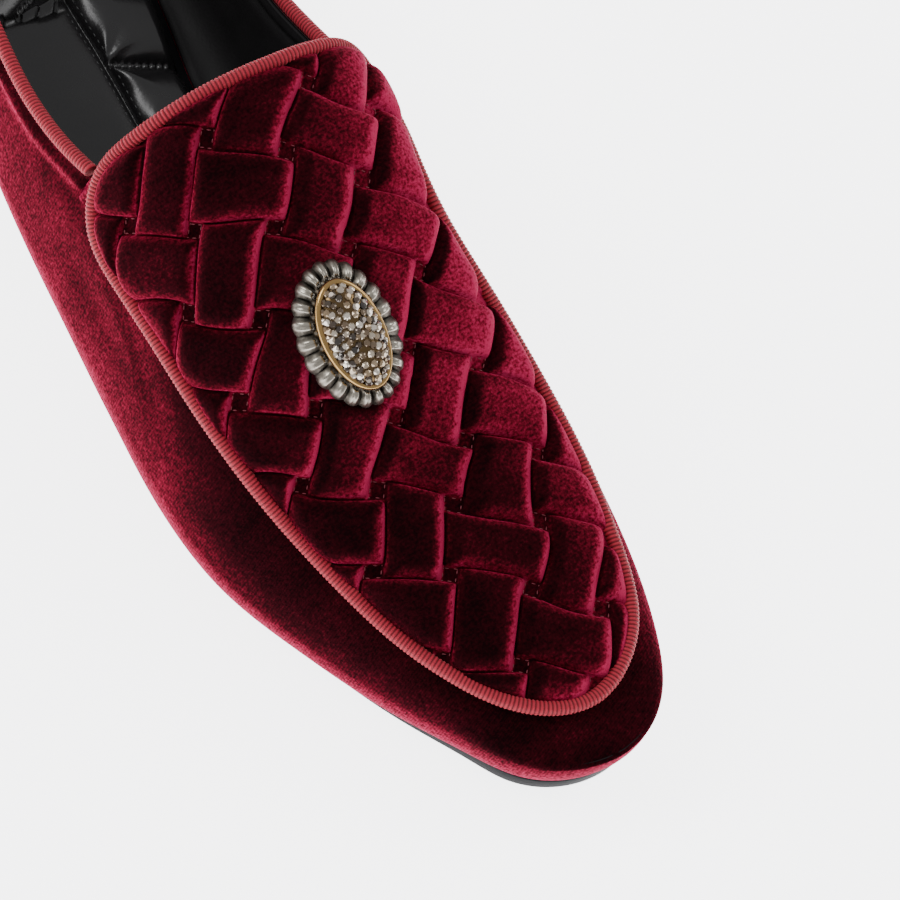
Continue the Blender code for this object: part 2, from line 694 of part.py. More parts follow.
def oval_rings(name, rings, place, collection, finish, columns, flutes=0):
    """Solid of oval rings: each is a half length, half width and height, with its share of fluting."""
    points = []
    for half_length, half_width, height, fluting in rings:
        for k in range(columns):
            angle = 2 * math.pi * k / columns
            flute = -FLUTE_DEPTH * fluting * (1 - abs(math.cos(flutes * angle / 2)))
            points.append(place((half_width + flute) * math.sin(angle),
                                (half_length + flute) * math.cos(angle), height))
    faces = []
    for ring in range(len(rings) - 1):
        for k in range(columns):
            following = (k + 1) % columns
            faces.append((ring * columns + k, ring * columns + following,
                          (ring + 1) * columns + following, (ring + 1) * columns + k))
    top = (len(rings) - 1) * columns
    faces.append(tuple(range(columns - 1, -1, -1)))
    faces.append(tuple(range(top, top + columns)))
    mesh = mesh_from_faces(name, points, faces)
    mesh.shade_smooth()
    mesh.set_sharp_from_angle(angle=math.radians(35))
    return make_object(name, mesh, collection, finish)


def build_brooch(last, collection):
    """Oval brooch, its back bent to the vamp: fluted dish, smooth collet ring and a dome of stones in it."""
    seat = APRON_SEAT + APRON_WALL + QUILT_HEIGHT + GAP
    long, wide = BROOCH_LENGTH / 2, BROOCH_WIDTH / 2

    def place(x, y, z):
        return last.raised(BROOCH_ACROSS + x, BROOCH_ALONG + y, seat + z)[0]

    def oval(inset, height, fluting=0):
        """One ring, inset from the brooch's outline."""
        return long - inset, wide - inset, height, fluting

    def filled(ring):
        """Smaller rings that fill a ring, outermost first."""
        return [(ring[0] * share, ring[1] * share, ring[2], 0) for share in OVAL_SHARES]

    rim = BROOCH_RIM_HEIGHT
    side = [oval(inset * rim, height * rim, fluting) for inset, height, fluting in RIM]
    dish = oval((1 - DISH_SHARE) * wide, rim)
    oval_rings("brooch_rim", filled(side[0])[::-1] + side + [dish] + filled(dish), place, collection,
               material("antique_silver", SILVER_COLOUR, 0.35, 1.0), 2 * BROOCH_FLUTES, BROOCH_FLUTES)

    outside = (1 - DISH_SHARE) * wide + GAP
    inside = outside + COLLET_WIDTH
    low = rim + GAP
    high = low + COLLET_HEIGHT
    ring_solid("brooch_collet", (oval(outside, low), oval(outside + GAP, high), oval(inside, high),
                                 oval(inside, low)), place, collection,
               material("aged_brass", BRASS_COLOUR, 0.3, 1.0), RING_COLUMNS)

    foot = oval(inside + GAP, low)
    rings = filled(foot)[::-1] + [foot]
    for step in range(DOME_RINGS + 1):
        angle = math.pi / 2 * step / DOME_RINGS
        share = max(math.cos(angle), OVAL_SHARES[-1])
        rings.append((foot[0] * share, foot[1] * share, high - GAP + STONE_DOME_HEIGHT * math.sin(angle), 0))
    oval_rings("brooch_stones", rings, place, collection, material("cut_stones", STONE_COLOUR, 0.1),
               DOME_COLUMNS)


def ring_solid(name, profile, place, collection, finish, columns):
    """Closed oval ring with a profile of half lengths, half widths and heights."""
    points = []
    for half_length, half_width, height, _ in profile:
        for k in range(columns):
            angle = 2 * math.pi * k / columns
            points.append(place(half_width * math.sin(angle), half_length * math.cos(angle), height))
    faces = []
    for ring in range(len(profile)):
        above = (ring + 1) % len(profile)
        for k in range(columns):
            following = (k + 1) % columns
            faces.append((ring * columns + k, ring * columns + following,
                          above * columns + following, above * columns + k))
    mesh = mesh_from_faces(name, points, faces)
    mesh.shade_smooth()
    mesh.set_sharp_from_angle(angle=math.radians(35))
    return make_object(name, mesh, collection, finish)


def stand_on_origin(collection):
    """Move every piece so that the middle of the whole shoe's box stands over the origin."""
    bpy.context.view_layer.update()
    graph = bpy.context.evaluated_depsgraph_get()
    corners = []
    for item in collection.objects:
        mesh = item.evaluated_get(graph).to_mesh()
        corners += [item.matrix_world @ vert.co for vert in mesh.vertices]
    low = [min(corner[k] for corner in corners) for k in range(3)]
    high = [max(corner[k] for corner in corners) for k in range(3)]
    shift = Matrix.Translation((-(low[0] + high[0]) / 2, -(low[1] + high[1]) / 2, -low[2]))
    for item in collection.objects:
        item.data.transform(shift)


def main():
    """Build the shoe."""
    collection, cutters = clear_scene()
    last = Last()
    build_upper(last, collection)
    build_sole(last, collection)
    build_apron(last, collection, cutters)
    build_piping(last, collection)
    build_brooch(last, collection)
    stand_on_origin(collection)


main()
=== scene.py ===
"""Venetian loafer, right shoe: velvet upper, quilted apron, ribbed piping and a stone-set brooch."""
import math
import bpy
import bmesh
import numpy as np
from mathutils import Matrix, Vector


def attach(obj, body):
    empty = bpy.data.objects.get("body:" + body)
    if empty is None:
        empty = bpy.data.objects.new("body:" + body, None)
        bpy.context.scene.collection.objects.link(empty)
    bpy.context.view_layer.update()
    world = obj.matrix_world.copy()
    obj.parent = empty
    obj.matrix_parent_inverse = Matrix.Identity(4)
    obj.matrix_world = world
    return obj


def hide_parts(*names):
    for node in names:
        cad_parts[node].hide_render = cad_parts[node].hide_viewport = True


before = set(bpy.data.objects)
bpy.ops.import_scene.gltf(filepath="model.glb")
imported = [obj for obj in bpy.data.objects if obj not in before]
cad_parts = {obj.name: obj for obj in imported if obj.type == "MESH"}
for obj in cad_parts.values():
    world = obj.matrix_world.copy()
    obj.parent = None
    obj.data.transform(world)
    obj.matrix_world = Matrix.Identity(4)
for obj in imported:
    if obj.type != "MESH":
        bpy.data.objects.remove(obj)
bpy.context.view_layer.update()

# The upper: velvet cut and lasted as one vamp with two quarters, over black lining leather.
# Its form is the last's: one section for each station, from the back of the heel to the tip of the toe.
LAST_LENGTH = 0.292
BALL_WIDTH = 0.0882
INSTEP_HEIGHT = 0.0755
CROWN_ROUNDNESS = 2.43
LAST_SHIFT = 0.00196      # the last's middle line, from the middle of the whole shoe's box
SOLE_THICKNESS = 0.0045
HEEL_HEIGHT = 0.0167
TOP_PIECE_HEIGHT = 0.006
TOE_SPRING = 0.008
SEAM = 0.0003
THROAT = 0.43
THROAT_BOW = 0.0042
HEEL_POLE, TOE_POLE = 0.13, 0.86
VELVET_THICKNESS = 0.0009
LINING_THICKNESS = 0.0009

# station, width, swing, lean, belly, crown, tuck outside, tuck inside, lift, spring
SECTIONS = np.array((
    (0.00, 0.000, 0.006, 0.000, 0.219, 0.219, 0.057, 0.057, 1.00, 0.00),
    (0.03, 0.438, 0.001, 0.000, 0.219, 0.536, 0.057, 0.057, 1.00, 0.00),
    (0.08, 0.631, -0.020, 0.015, 0.205, 0.775, 0.068, 0.068, 1.00, 0.00),
    (0.15, 0.755, -0.041, 0.048, 0.199, 0.881, 0.084, 0.079, 1.00, 0.00),
    (0.25, 0.785, -0.067, 0.102, 0.179, 0.942, 0.101, 0.113, 0.97, 0.00),
    (0.35, 0.824, -0.095, 0.125, 0.187, 0.989, 0.116, 0.147, 0.76, 0.00),
    (0.45, 0.877, -0.093, 0.106, 0.225, 1.000, 0.129, 0.159, 0.42, 0.00),
    (0.55, 0.936, -0.077, 0.090, 0.243, 0.931, 0.131, 0.136, 0.12, 0.00),
    (0.64, 0.991, -0.056, 0.087, 0.227, 0.768, 0.124, 0.091, 0.00, 0.00),
    (0.72, 1.008, -0.015, 0.075, 0.197, 0.568, 0.113, 0.057, 0.00, 0.00),
    (0.80, 0.913, 0.037, 0.059, 0.179, 0.452, 0.099, 0.045, 0.00, 0.10),
    (0.87, 0.778, 0.076, 0.037, 0.170, 0.366, 0.086, 0.042, 0.00, 0.32),
    (0.93, 0.608, 0.105, 0.017, 0.164, 0.281, 0.073, 0.043, 0.00, 0.60),
    (0.97, 0.443, 0.112, 0.014, 0.157, 0.209, 0.058, 0.045, 0.00, 0.82),
    (1.00, 0.000, 0.127, 0.000, 0.145, 0.145, 0.048, 0.048, 0.00, 1.00)))

# station, collar height outside, collar height inside
COLLAR = np.array((
    (0.00, 0.580, 0.580),
    (0.10, 0.555, 0.555),
    (0.20, 0.498, 0.495),
    (0.30, 0.483, 0.440),
    (0.38, 0.559, 0.540),
    (0.43, 0.649, 0.650)))


def rounded(share):
    """Angle for a share of a length, so that both ends close round."""
    return np.arccos(1 - 2 * np.clip(share, 0, 1))


def unit(vectors):
    """The same directions, each one long."""
    return vectors / np.linalg.norm(vectors, axis=-1, keepdims=True)


def walked(line):
    """Length along a line, up to each of its points."""
    return np.concatenate([[0], np.cumsum(np.linalg.norm(np.diff(line, axis=0), axis=1))])


def round_shoulder(share):
    """Quarter circle's rise, from 0 to 1."""
    return np.sqrt(np.clip(1 - (1 - np.clip(share, 0, 1)) ** 2, 0, 1))


def smooth_curve(positions, values):
    """Cubic spline with continuous curvature, free at its ends."""
    steps = np.diff(positions)
    count = len(positions)
    matrix, target = np.eye(count), np.zeros(count)
    for k in range(1, count - 1):
        matrix[k, k - 1:k + 2] = steps[k - 1], 2 * (steps[k - 1] + steps[k]), steps[k]
        target[k] = 6 * ((values[k + 1] - values[k]) / steps[k] - (values[k] - values[k - 1]) / steps[k - 1])
    bends = np.linalg.solve(matrix, target)

    def curve(at):
        at = np.clip(np.asarray(at, float), positions[0], positions[-1])
        k = np.clip(np.searchsorted(positions, at) - 1, 0, count - 2)
        left, right = (positions[k + 1] - at) / steps[k], (at - positions[k]) / steps[k]
        bow = (left ** 3 - left) * bends[k] + (right ** 3 - right) * bends[k + 1]
        return left * values[k] + right * values[k + 1] + bow * steps[k] ** 2 / 6

    return curve


def level_curve(positions, values):
    """Curve that keeps flat stretches flat."""
    steps = np.diff(positions)
    slopes = np.diff(values) / steps
    tangents = np.zeros(len(positions))
    for k in range(1, len(positions) - 1):
        if slopes[k - 1] * slopes[k] > 0:
            tangents[k] = 2 * slopes[k - 1] * slopes[k] / (slopes[k - 1] + slopes[k])

    def curve(at):
        at = np.clip(np.asarray(at, float), positions[0], positions[-1])
        k = np.clip(np.searchsorted(positions, at) - 1, 0, len(steps) - 1)
        t = (at - positions[k]) / steps[k]
        start = (1 + 2 * t) * (1 - t) ** 2 * values[k] + t * (1 - t) ** 2 * steps[k] * tangents[k]
        return start + t ** 2 * (3 - 2 * t) * values[k + 1] + t ** 2 * (t - 1) * steps[k] * tangents[k + 1]

    return curve


def last_curve(column, unit, kind=smooth_curve):
    """One column of the sections as a function of the station."""
    spline = kind(rounded(SECTIONS[:, 0]), SECTIONS[:, column] * unit)
    return lambda station: spline(rounded(station))


last_half = last_curve(1, BALL_WIDTH / 2)
last_swing = last_curve(2, BALL_WIDTH)
last_lean = last_curve(3, BALL_WIDTH, level_curve)
last_belly = last_curve(4, INSTEP_HEIGHT)
last_crown = last_curve(5, INSTEP_HEIGHT)
last_tuck = {-1: last_curve(6, BALL_WIDTH, level_curve), 1: last_curve(7, BALL_WIDTH, level_curve)}
last_lift = last_curve(8, HEEL_HEIGHT + 2 * SEAM, level_curve)
last_spring = last_curve(9, TOE_SPRING, level_curve)
collar_height = {side: smooth_curve(COLLAR[:, 0], COLLAR[:, column] * INSTEP_HEIGHT)
                 for side, column in ((-1, 1), (1, 2))}


def sole_top(station):
    """Height of the outsole's upper face."""
    return SOLE_THICKNESS + last_lift(station) + last_spring(station)


def last_y(station):
    """Y of a station."""
    return LAST_LENGTH / 2 - np.asarray(station, float) * LAST_LENGTH


def last_surface(across, station):
    """Point of the last at a share across the section: -1 outer side, 0 ridge, 1 inner side."""
    across = np.clip(across, -1, 1)
    rise = (1 - np.abs(across) ** CROWN_ROUNDNESS) ** (1 / CROWN_ROUNDNESS)
    belly = last_belly(station)
    x = last_swing(station) + last_half(station) * across + last_lean(station) * rise + LAST_SHIFT
    z = sole_top(station) + SEAM + belly + (last_crown(station) - belly) * rise
    return np.stack([x, last_y(station) + 0 * x, z], -1)


def last_fan(station, side, angle):
    """Share across and station of a column of the upper, whose columns close on a pole at each end."""
    reach = np.cos(angle) ** (2 / CROWN_ROUNDNESS)
    pole = np.clip(station, HEEL_POLE, TOE_POLE)
    inner = pole + (station - pole) * reach
    width = np.maximum(last_half(inner), 1e-6)
    share = np.where(pole == station, reach, np.minimum(last_half(station) * reach / width, 1))
    return side * share, inner


def last_outline(station, side):
    """Widest line in plan, with its outward direction."""
    def plan(place):
        return np.stack([last_swing(place) + side * last_half(place) + LAST_SHIFT, last_y(place)], -1)
    angle = rounded(station)
    tangent = (plan((1 - np.cos(np.clip(angle + 0.004, 0, math.pi))) / 2)
               - plan((1 - np.cos(np.clip(angle - 0.004, 0, math.pi))) / 2))
    tangent = unit(tangent)
    outward = np.stack([-tangent[..., 1], tangent[..., 0]], -1) * side
    outward[station <= 0] = 0, 1
    outward[station >= 1] = 0, -1
    return plan(station), outward


def collar_angle(station, side):
    """Angle on the columns of the quarters where the surface reaches the collar's edge."""
    low, high = np.zeros(len(station)), np.full(len(station), math.pi / 2)
    for _ in range(40):
        angle = (low + high) / 2
        across, place = last_fan(station, side, angle)
        height = last_surface(across, place)[:, 2] - sole_top(place) - SEAM
        below = height < collar_height[side](place)
        low, high = np.where(below, angle, low), np.where(below, high, angle)
    return (low + high) / 2


def crowded(start, end, count):
    """Stations from start to end that crowd towards the round ends of the last."""
    return (1 - np.cos(np.linspace(float(rounded(start)), float(rounded(end)), count + 1))) / 2


def upper_columns(station, side, crown_rows):
    """Points of columns of the upper, from the sole up to the collar, and on to the ridge with crown_rows."""
    plan, outward = last_outline(station, side)
    tuck, belly = last_tuck[side](station), last_belly(station)
    rows = []
    for turn in np.linspace(math.pi / 2, 0, 9)[:-1]:
        place = plan - outward * (tuck * (1 - math.cos(turn)))[:, None]
        height = sole_top(station) + SEAM + belly * (1 - math.sin(turn))
        rows.append(np.column_stack([place, height]))
    edge = collar_angle(np.minimum(station, THROAT), side)
    ahead = np.clip((station - THROAT) / (1 - THROAT), 0, 1)
    edge = edge + (collar_angle(np.full(len(station), THROAT), -1) - edge) * ahead
    angles = [edge * share for share in np.linspace(0, 1, 49)]
    angles += [edge + (math.pi / 2 - edge) * share for share in np.linspace(0, 1, crown_rows + 1)[1:]]
    fade = np.where(station >= THROAT, np.clip(1 - (station - THROAT) / (TOE_POLE - THROAT), 0, 1) ** 2, 0)
    for angle in angles:
        across, place = last_fan(station, side, angle)
        place = place + THROAT_BOW / LAST_LENGTH * np.sin(angle) ** 4 * fade
        rows.append(last_surface(across, place))
    return np.array(rows)


# Creases of the vamp and the quarters, as soft troughs: share across, station at both ends, width, depth.
# The shares run as in last_surface, so -1 is the widest line outside.
CREASES = (
    (-0.97, 0.37, -0.93, 0.47, 0.0035, 0.00070),
    (-0.99, 0.45, -0.985, 0.56, 0.0050, 0.00055),
    (-0.95, 0.50, -0.98, 0.62, 0.0040, 0.00045),
    (0.98, 0.46, 0.99, 0.58, 0.0050, 0.00050),
    (0.95, 0.55, 0.98, 0.66, 0.0050, 0.00040))


def creased(points, normals):
    """Points with the creases pressed in along their normals."""
    depth = np.zeros(points.shape[:-1])
    share = np.linspace(0, 1, 12)
    for across_a, station_a, across_b, station_b, width, deep in CREASES:
        line = last_surface(across_a + (across_b - across_a) * share,
                            station_a + (station_b - station_a) * share)
        gap = np.linalg.norm(points[..., None, :] - line, axis=-1)
        fade = np.sin(math.pi * (0.08 + 0.84 * share))
        depth = np.maximum(depth, (deep * fade * np.exp(-(gap / width) ** 2)).max(-1))
    return points - normals * depth[..., None]


def collar_fold(points, normals):
    """Quarters with the soft fold that the turned-in velvet makes just below the collar's cord."""
    below = np.linalg.norm(np.diff(points, axis=0), axis=2)
    below = np.concatenate([np.cumsum(below[::-1], axis=0)[::-1], np.zeros((1, points.shape[1]))])
    bulge = 0.0008 * np.exp(-((below - 0.0050) / 0.0016) ** 2)
    hollow = 0.0004 * np.exp(-((below - 0.0022) / 0.0012) ** 2)
    return points + normals * (bulge - hollow)[..., None]


def grid_normals(points):
    """Unit normals of a grid of points."""
    normal = np.cross(np.gradient(points, axis=1), np.gradient(points, axis=0))
    return normal / np.maximum(np.linalg.norm(normal, axis=-1, keepdims=True), 1e-12)


def mesh_piece(name, points, faces, uv=None, smooth=True, **values):
    """Piece from points and faces, with its UV in metres and named values at its points."""
    mesh = bpy.data.meshes.new(name)
    mesh.from_pydata(np.asarray(points).reshape(-1, 3).tolist(), [],
                     faces if isinstance(faces, list) else faces.tolist())
    if uv is not None:
        corners = np.empty(len(mesh.loops), int)
        mesh.loops.foreach_get("vertex_index", corners)
        mesh.uv_layers.new(name="cut").data.foreach_set("uv", np.asarray(uv).reshape(-1, 2)[corners].ravel())
    for label, value in values.items():
        attribute = mesh.attributes.new(label, "FLOAT", "POINT")
        attribute.data.foreach_set("value", np.asarray(value, np.float32).ravel())
    if smooth:
        mesh.shade_smooth()
    piece = bpy.data.objects.new(name, mesh)
    bpy.context.scene.collection.objects.link(piece)
    return piece


def grid_faces(rows, columns, wrap=False):
    """Four-sided faces over a grid whose columns may close on themselves."""
    row, column = np.meshgrid(np.arange(rows - 1), np.arange(columns if wrap else columns - 1), indexing="ij")
    after = (column + 1) % columns
    faces = np.stack([row * columns + column, row * columns + after,
                      (row + 1) * columns + after, (row + 1) * columns + column], -1)
    return faces.reshape(-1, 4)


def outwards(piece, merge=0.00001, sheet=False):
    """Join a piece's doubles and turn its faces out; an open sheet is told by the way from its middle."""
    build = bmesh.new()
    build.from_mesh(piece.data)
    bmesh.ops.remove_doubles(build, verts=build.verts, dist=merge)
    if sheet:
        bmesh.ops.dissolve_degenerate(build, edges=build.edges, dist=0.000005)
    bmesh.ops.recalc_face_normals(build, faces=build.faces)
    if sheet:
        middle = sum((vert.co for vert in build.verts), Vector()) / len(build.verts)
        balance = sum(face.normal.dot(face.calc_center_median() - middle) * face.calc_area()
                      for face in build.faces)
        if balance < 0:
            bmesh.ops.reverse_faces(build, faces=build.faces)
    build.to_mesh(piece.data)
    build.free()


def shell_points(inset):
    """Whole shell of the upper, inset from the last: quarters and vamp as grids on each side."""
    grids = []
    middle = np.array((LAST_SHIFT, 0, 0.03))
    for start, end, columns, crown in ((0, THROAT, 80, 0), (THROAT, 1, 110, 30)):
        for side in (-1, 1):
            station = crowded(start, end, columns)
            grid = upper_columns(station, side, crown)
            normal = grid_normals(grid) * side
            if ((grid - middle) * normal).sum() < 0:
                normal = -normal
            grid = creased(grid, normal)
            if end == THROAT:
                grid = collar_fold(grid, normal)
            grids.append((grid - normal * inset, side))
    return grids


def shell(name, inset, thickness):
    """One layer of the upper as a closed piece, open at the collar, at the throat and underneath."""
    points, faces, uvs, count = [], [], [], 0
    for grid, side in shell_points(inset):
        rows, columns = grid.shape[:2]
        down = np.cumsum(np.linalg.norm(np.diff(grid, axis=0), axis=2), 0)
        down = np.concatenate([np.zeros((1, columns)), down])
        faces.append(grid_faces(rows, columns)[:, ::side] + count)
        points.append(grid.reshape(-1, 3))
        uvs.append(np.stack([grid[..., 1] * side, down], -1).reshape(-1, 2))
        count += rows * columns
    piece = mesh_piece(name, np.concatenate(points), np.concatenate(faces), np.concatenate(uvs))
    outwards(piece, 0.00002, sheet=True)
    outer_faces = len(piece.data.polygons)
    wall = piece.modifiers.new("wall", "SOLIDIFY")
    wall.thickness = thickness
    wall.offset = -1
    bpy.context.view_layer.objects.active = piece
    bpy.ops.object.modifier_apply(modifier=wall.name)
    return piece, outer_faces


def node(tree, kind, **values):
    """Shader node with its settings."""
    item = tree.nodes.new("ShaderNode" + kind)
    for key, value in values.items():
        setattr(item, key, value)
    return item


def put(tree, item, **inputs):
    """Set or link inputs, named or numbered as i0, i1: a socket is linked, anything else is its value."""
    for key, value in inputs.items():
        socket = item.inputs[int(key[1:]) if key[1:].isdigit() else key.replace("_", " ")]
        if isinstance(value, bpy.types.NodeSocket):
            tree.links.new(value, socket)
        else:
            socket.default_value = value
    return item


def maths(tree, operation, first, second=0.0):
    """Math node's value."""
    return put(tree, node(tree, "Math", operation=operation), i0=first, i1=second).outputs[0]


def object_place(tree):
    """Place in metres, in the piece's own axes."""
    return node(tree, "TexCoord").outputs["Object"]


def noise(tree, place, scale, detail, **more):
    """Noise node's value at a place."""
    return put(tree, node(tree, "TexNoise"), Vector=place, Scale=scale, Detail=detail, **more).outputs[0]


def bumped(tree, height, strength, distance):
    """Shading normal of a height."""
    return put(tree, node(tree, "Bump"), Height=height, Strength=strength, Distance=distance).outputs[0]


def ramp(tree, value, stops):
    """Colour ramp over a value; each stop is a position and a colour."""
    item = node(tree, "ValToRGB")
    while len(item.color_ramp.elements) < len(stops):
        item.color_ramp.elements.new(0.5)
    for element, (place, colour) in zip(item.color_ramp.elements, stops):
        element.position = place
        element.color = (*colour, 1)
    tree.links.new(value, item.inputs[0])
    return item.outputs[0]


def mix_colour(tree, share, first, second, mode="MIX"):
    """Mix of two colours."""
    item = node(tree, "Mix", data_type="RGBA", blend_type=mode)
    for socket, value in ((item.inputs[0], share), (item.inputs[6], first), (item.inputs[7], second)):
        if isinstance(value, bpy.types.NodeSocket):
            tree.links.new(value, socket)
        else:
            socket.default_value = (*value, 1) if isinstance(value, tuple) and len(value) == 3 else value
    return item.outputs[2]


def new_group(name, inputs, outputs):
    """Empty node group with named inputs (with their values) and outputs."""
    group = bpy.data.node_groups.new(name, "ShaderNodeTree")
    for label, kind, value in inputs:
        socket = group.interface.new_socket(label, in_out="INPUT", socket_type="NodeSocket" + kind)
        if value is not None:
            socket.default_value = value
    for label, kind in outputs:
        group.interface.new_socket(label, in_out="OUTPUT", socket_type="NodeSocket" + kind)
    return group, group.nodes.new("NodeGroupInput"), group.nodes.new("NodeGroupOutput")


def use_group(tree, group, **inputs):
    """Place a node group in a material."""
    item = tree.nodes.new("ShaderNodeGroup")
    item.node_tree = group
    return put(tree, item, **inputs)


def new_material(name, **sockets):
    """Material with a Principled shader and its uniform values."""
    material = bpy.data.materials.new(name)
    material.use_nodes = True
    shader = material.node_tree.nodes["Principled BSDF"]
    for key, value in sockets.items():
        shader.inputs[key.replace("_", " ")].default_value = value
    return material, material.node_tree, shader


def dress(piece, material, slot, *replaced):
    """Give a piece its material, its body and the solids it stands for; its slot is not used."""
    piece.data.materials.clear()
    piece.data.materials.append(material)
    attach(piece, "root")
    if replaced:
        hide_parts(*replaced)
    return piece


# Velvet: rows of cut pile, its colour nearly black where it is looked straight into, with painted sheen where
# it turns away and painted side light on the faces turned one set way, given for each piece.
group, given, result = new_group(
    "velvet_pile",
    (("Place", "Vector", None), ("Across Rows", "Vector", None), ("Rows", "Float", 0.3),
     ("Turned Away", "Float", 0.0), ("Lean", "Float", 0.0), ("Crush", "Float", 0.5), ("Lift", "Float", 0.0)),
    (("Colour", "Color"), ("Roughness", "Float"), ("Height", "Float")))
place = given.outputs["Place"]
run = put(group, node(group, "VectorMath", operation="DOT_PRODUCT"), i0=place,
          i1=given.outputs["Across Rows"])
fleck = maths(group, "SUBTRACT", noise(group, place, 1250.0, 2.0, Roughness=0.6), 0.5)
wander = maths(group, "MULTIPLY", noise(group, place, 180.0, 2.0), 0.9)
phase = maths(group, "ADD", run.outputs["Value"], wander)
rows = maths(group, "MULTIPLY", maths(group, "PINGPONG", phase, 0.5), 2.0)
rows = maths(group, "MULTIPLY", maths(group, "SUBTRACT", rows, 0.5), given.outputs["Rows"])
texture = maths(group, "ADD", rows, maths(group, "MULTIPLY", fleck, 2.7))
patch = maths(group, "SUBTRACT", noise(group, place, 48.0, 5.0, Roughness=0.60, Distortion=0.8), 0.5)
crushed = maths(group, "MULTIPLY", patch, given.outputs["Crush"])
# Painted sheen: the further a face turns away, the brighter its colour; painted side light: faces turned the
# set way are painted brighter.
turned = maths(group, "POWER", given.outputs["Turned Away"], 1.60)
painted_side_light = maths(group, "POWER", maths(group, "MAXIMUM", given.outputs["Lean"], 0.0), 1.6)
shine = maths(group, "ADD", maths(group, "ADD", turned, painted_side_light),
              maths(group, "ADD", crushed, given.outputs["Lift"]))
shine = maths(group, "MAXIMUM", shine, 0.0)
depth = maths(group, "ADD", maths(group, "MULTIPLY", shine, 0.72), 0.11)
shine = maths(group, "ADD", shine, maths(group, "MULTIPLY", texture, depth))
# This painted sheen and painted side light, with the crushed patches, the lift and the rows, become the
# velvet's colour here.
colour = ramp(group, shine, ((0.0, (0.0050, 0.0007, 0.0012)), (0.22, (0.024, 0.0013, 0.0033)),
                             (0.45, (0.085, 0.0028, 0.0095)), (0.72, (0.190, 0.0058, 0.0250)),
                             (1.0, (0.290, 0.0130, 0.0520))))
put(group, result, Colour=colour, Height=texture,
    Roughness=maths(group, "SUBTRACT", 0.98, maths(group, "MULTIPLY", shine, 0.2)))
velvet_pile = group


def velvet(name, across_rows, row_depth, lean, crush, lift):
    """Velvet with painted sheen and painted side light in its colour; across_rows is the way across its rows,
    by rows to a metre, and faces turned the way given after row_depth are painted brighter.
    """
    material, tree, shader = new_material(name, Sheen_Weight=0.05, Sheen_Roughness=0.30,
                                          Sheen_Tint=(0.75, 0.08, 0.18, 1), Specular_IOR_Level=0.02)
    place = node(tree, "TexCoord")
    # Painted sheen from how far each face turns away, and painted side light from how far it faces the set
    # way.
    facing = put(tree, node(tree, "LayerWeight"), Blend=0.5)
    faces_painted_side = put(tree, node(tree, "VectorMath", operation="DOT_PRODUCT"), i0=place.outputs["Normal"], i1=lean)
    level = put(tree, node(tree, "VectorMath", operation="DOT_PRODUCT"), i0=place.outputs["Normal"],
                i1=tuple(Vector(across_rows).normalized()))
    level = maths(tree, "MULTIPLY", level.outputs["Value"], level.outputs["Value"])
    shown = maths(tree, "SUBTRACT", 1.0, maths(tree, "MULTIPLY", level, 1.8))
    depth = maths(tree, "MULTIPLY", row_depth, maths(tree, "MAXIMUM", shown, 0.0))
    pile = use_group(tree, velvet_pile, Place=place.outputs["Object"], Across_Rows=across_rows, Rows=depth,
                     Turned_Away=facing.outputs["Facing"], Lean=faces_painted_side.outputs["Value"], Crush=crush, Lift=lift)
    put(tree, shader, Base_Color=pile.outputs["Colour"], Roughness=pile.outputs["Roughness"],
        Normal=bumped(tree, pile.outputs["Height"], 0.5, 0.00018))
    return material


# Upper velvet, with painted side light on the faces turned to the heel and a little to the outer side.
upper_velvet = velvet("upper_velvet", (-654.0, 1372.0, 221.0), 0.42, (-0.05, 0.10, 0.0), 0.50, 0.09)
upper, outer_faces = shell("upper_shell", 0.0, VELVET_THICKNESS)
dress(upper, upper_velvet, "velvet", "upper")
backing, tree, shader = new_material("backing_cloth", Base_Color=(0.004, 0.0037, 0.004, 1), Roughness=0.9)
upper.data.materials.append(backing)
for face in upper.data.polygons[outer_faces:2 * outer_faces]:
    face.material_index = 1

# Black lining leather, glued inside the velvet up to the collar's edge.
group, given, result = new_group(
    "leather_grain",
    (("Place", "Vector", None), ("Size", "Float", 900.0), ("Colour", "Color", None), ("Worn", "Color", None)),
    (("Colour", "Color"), ("Roughness", "Float"), ("Height", "Float")))
place = given.outputs["Place"]
pebble = put(group, node(group, "TexVoronoi", feature="SMOOTH_F1"), Vector=place, Scale=given.outputs["Size"])
crumple = noise(group, place, 90.0, 6.0, Roughness=0.6)
put(group, result, Colour=mix_colour(group, crumple, given.outputs["Colour"], given.outputs["Worn"]),
    Roughness=maths(group, "ADD", 0.24, maths(group, "MULTIPLY", crumple, 0.22)),
    Height=maths(group, "ADD", pebble.outputs[0], maths(group, "MULTIPLY", crumple, 0.8)))
leather_grain = group


def leather(name, colour, worn, size, strength, dull=0.0, gloss=0.5):
    """Leather with a fine grain; dull adds to its roughness."""
    material, tree, shader = new_material(name, Specular_IOR_Level=gloss)
    skin = use_group(tree, leather_grain, Place=object_place(tree), Size=size, Colour=(*colour, 1),
                     Worn=(*worn, 1))
    put(tree, shader, Base_Color=skin.outputs["Colour"],
        Normal=bumped(tree, skin.outputs["Height"], strength, 0.00015),
        Roughness=maths(tree, "ADD", skin.outputs["Roughness"], dull))
    return material


lining_leather = leather("lining_leather", (0.004, 0.0037, 0.004), (0.009, 0.0085, 0.009),
                         1400.0, 0.35, 0.28, 0.12)
lining, _ = shell("upper_lining", VELVET_THICKNESS + 0.0001, LINING_THICKNESS)
dress(lining, lining_leather, "sock_leather")

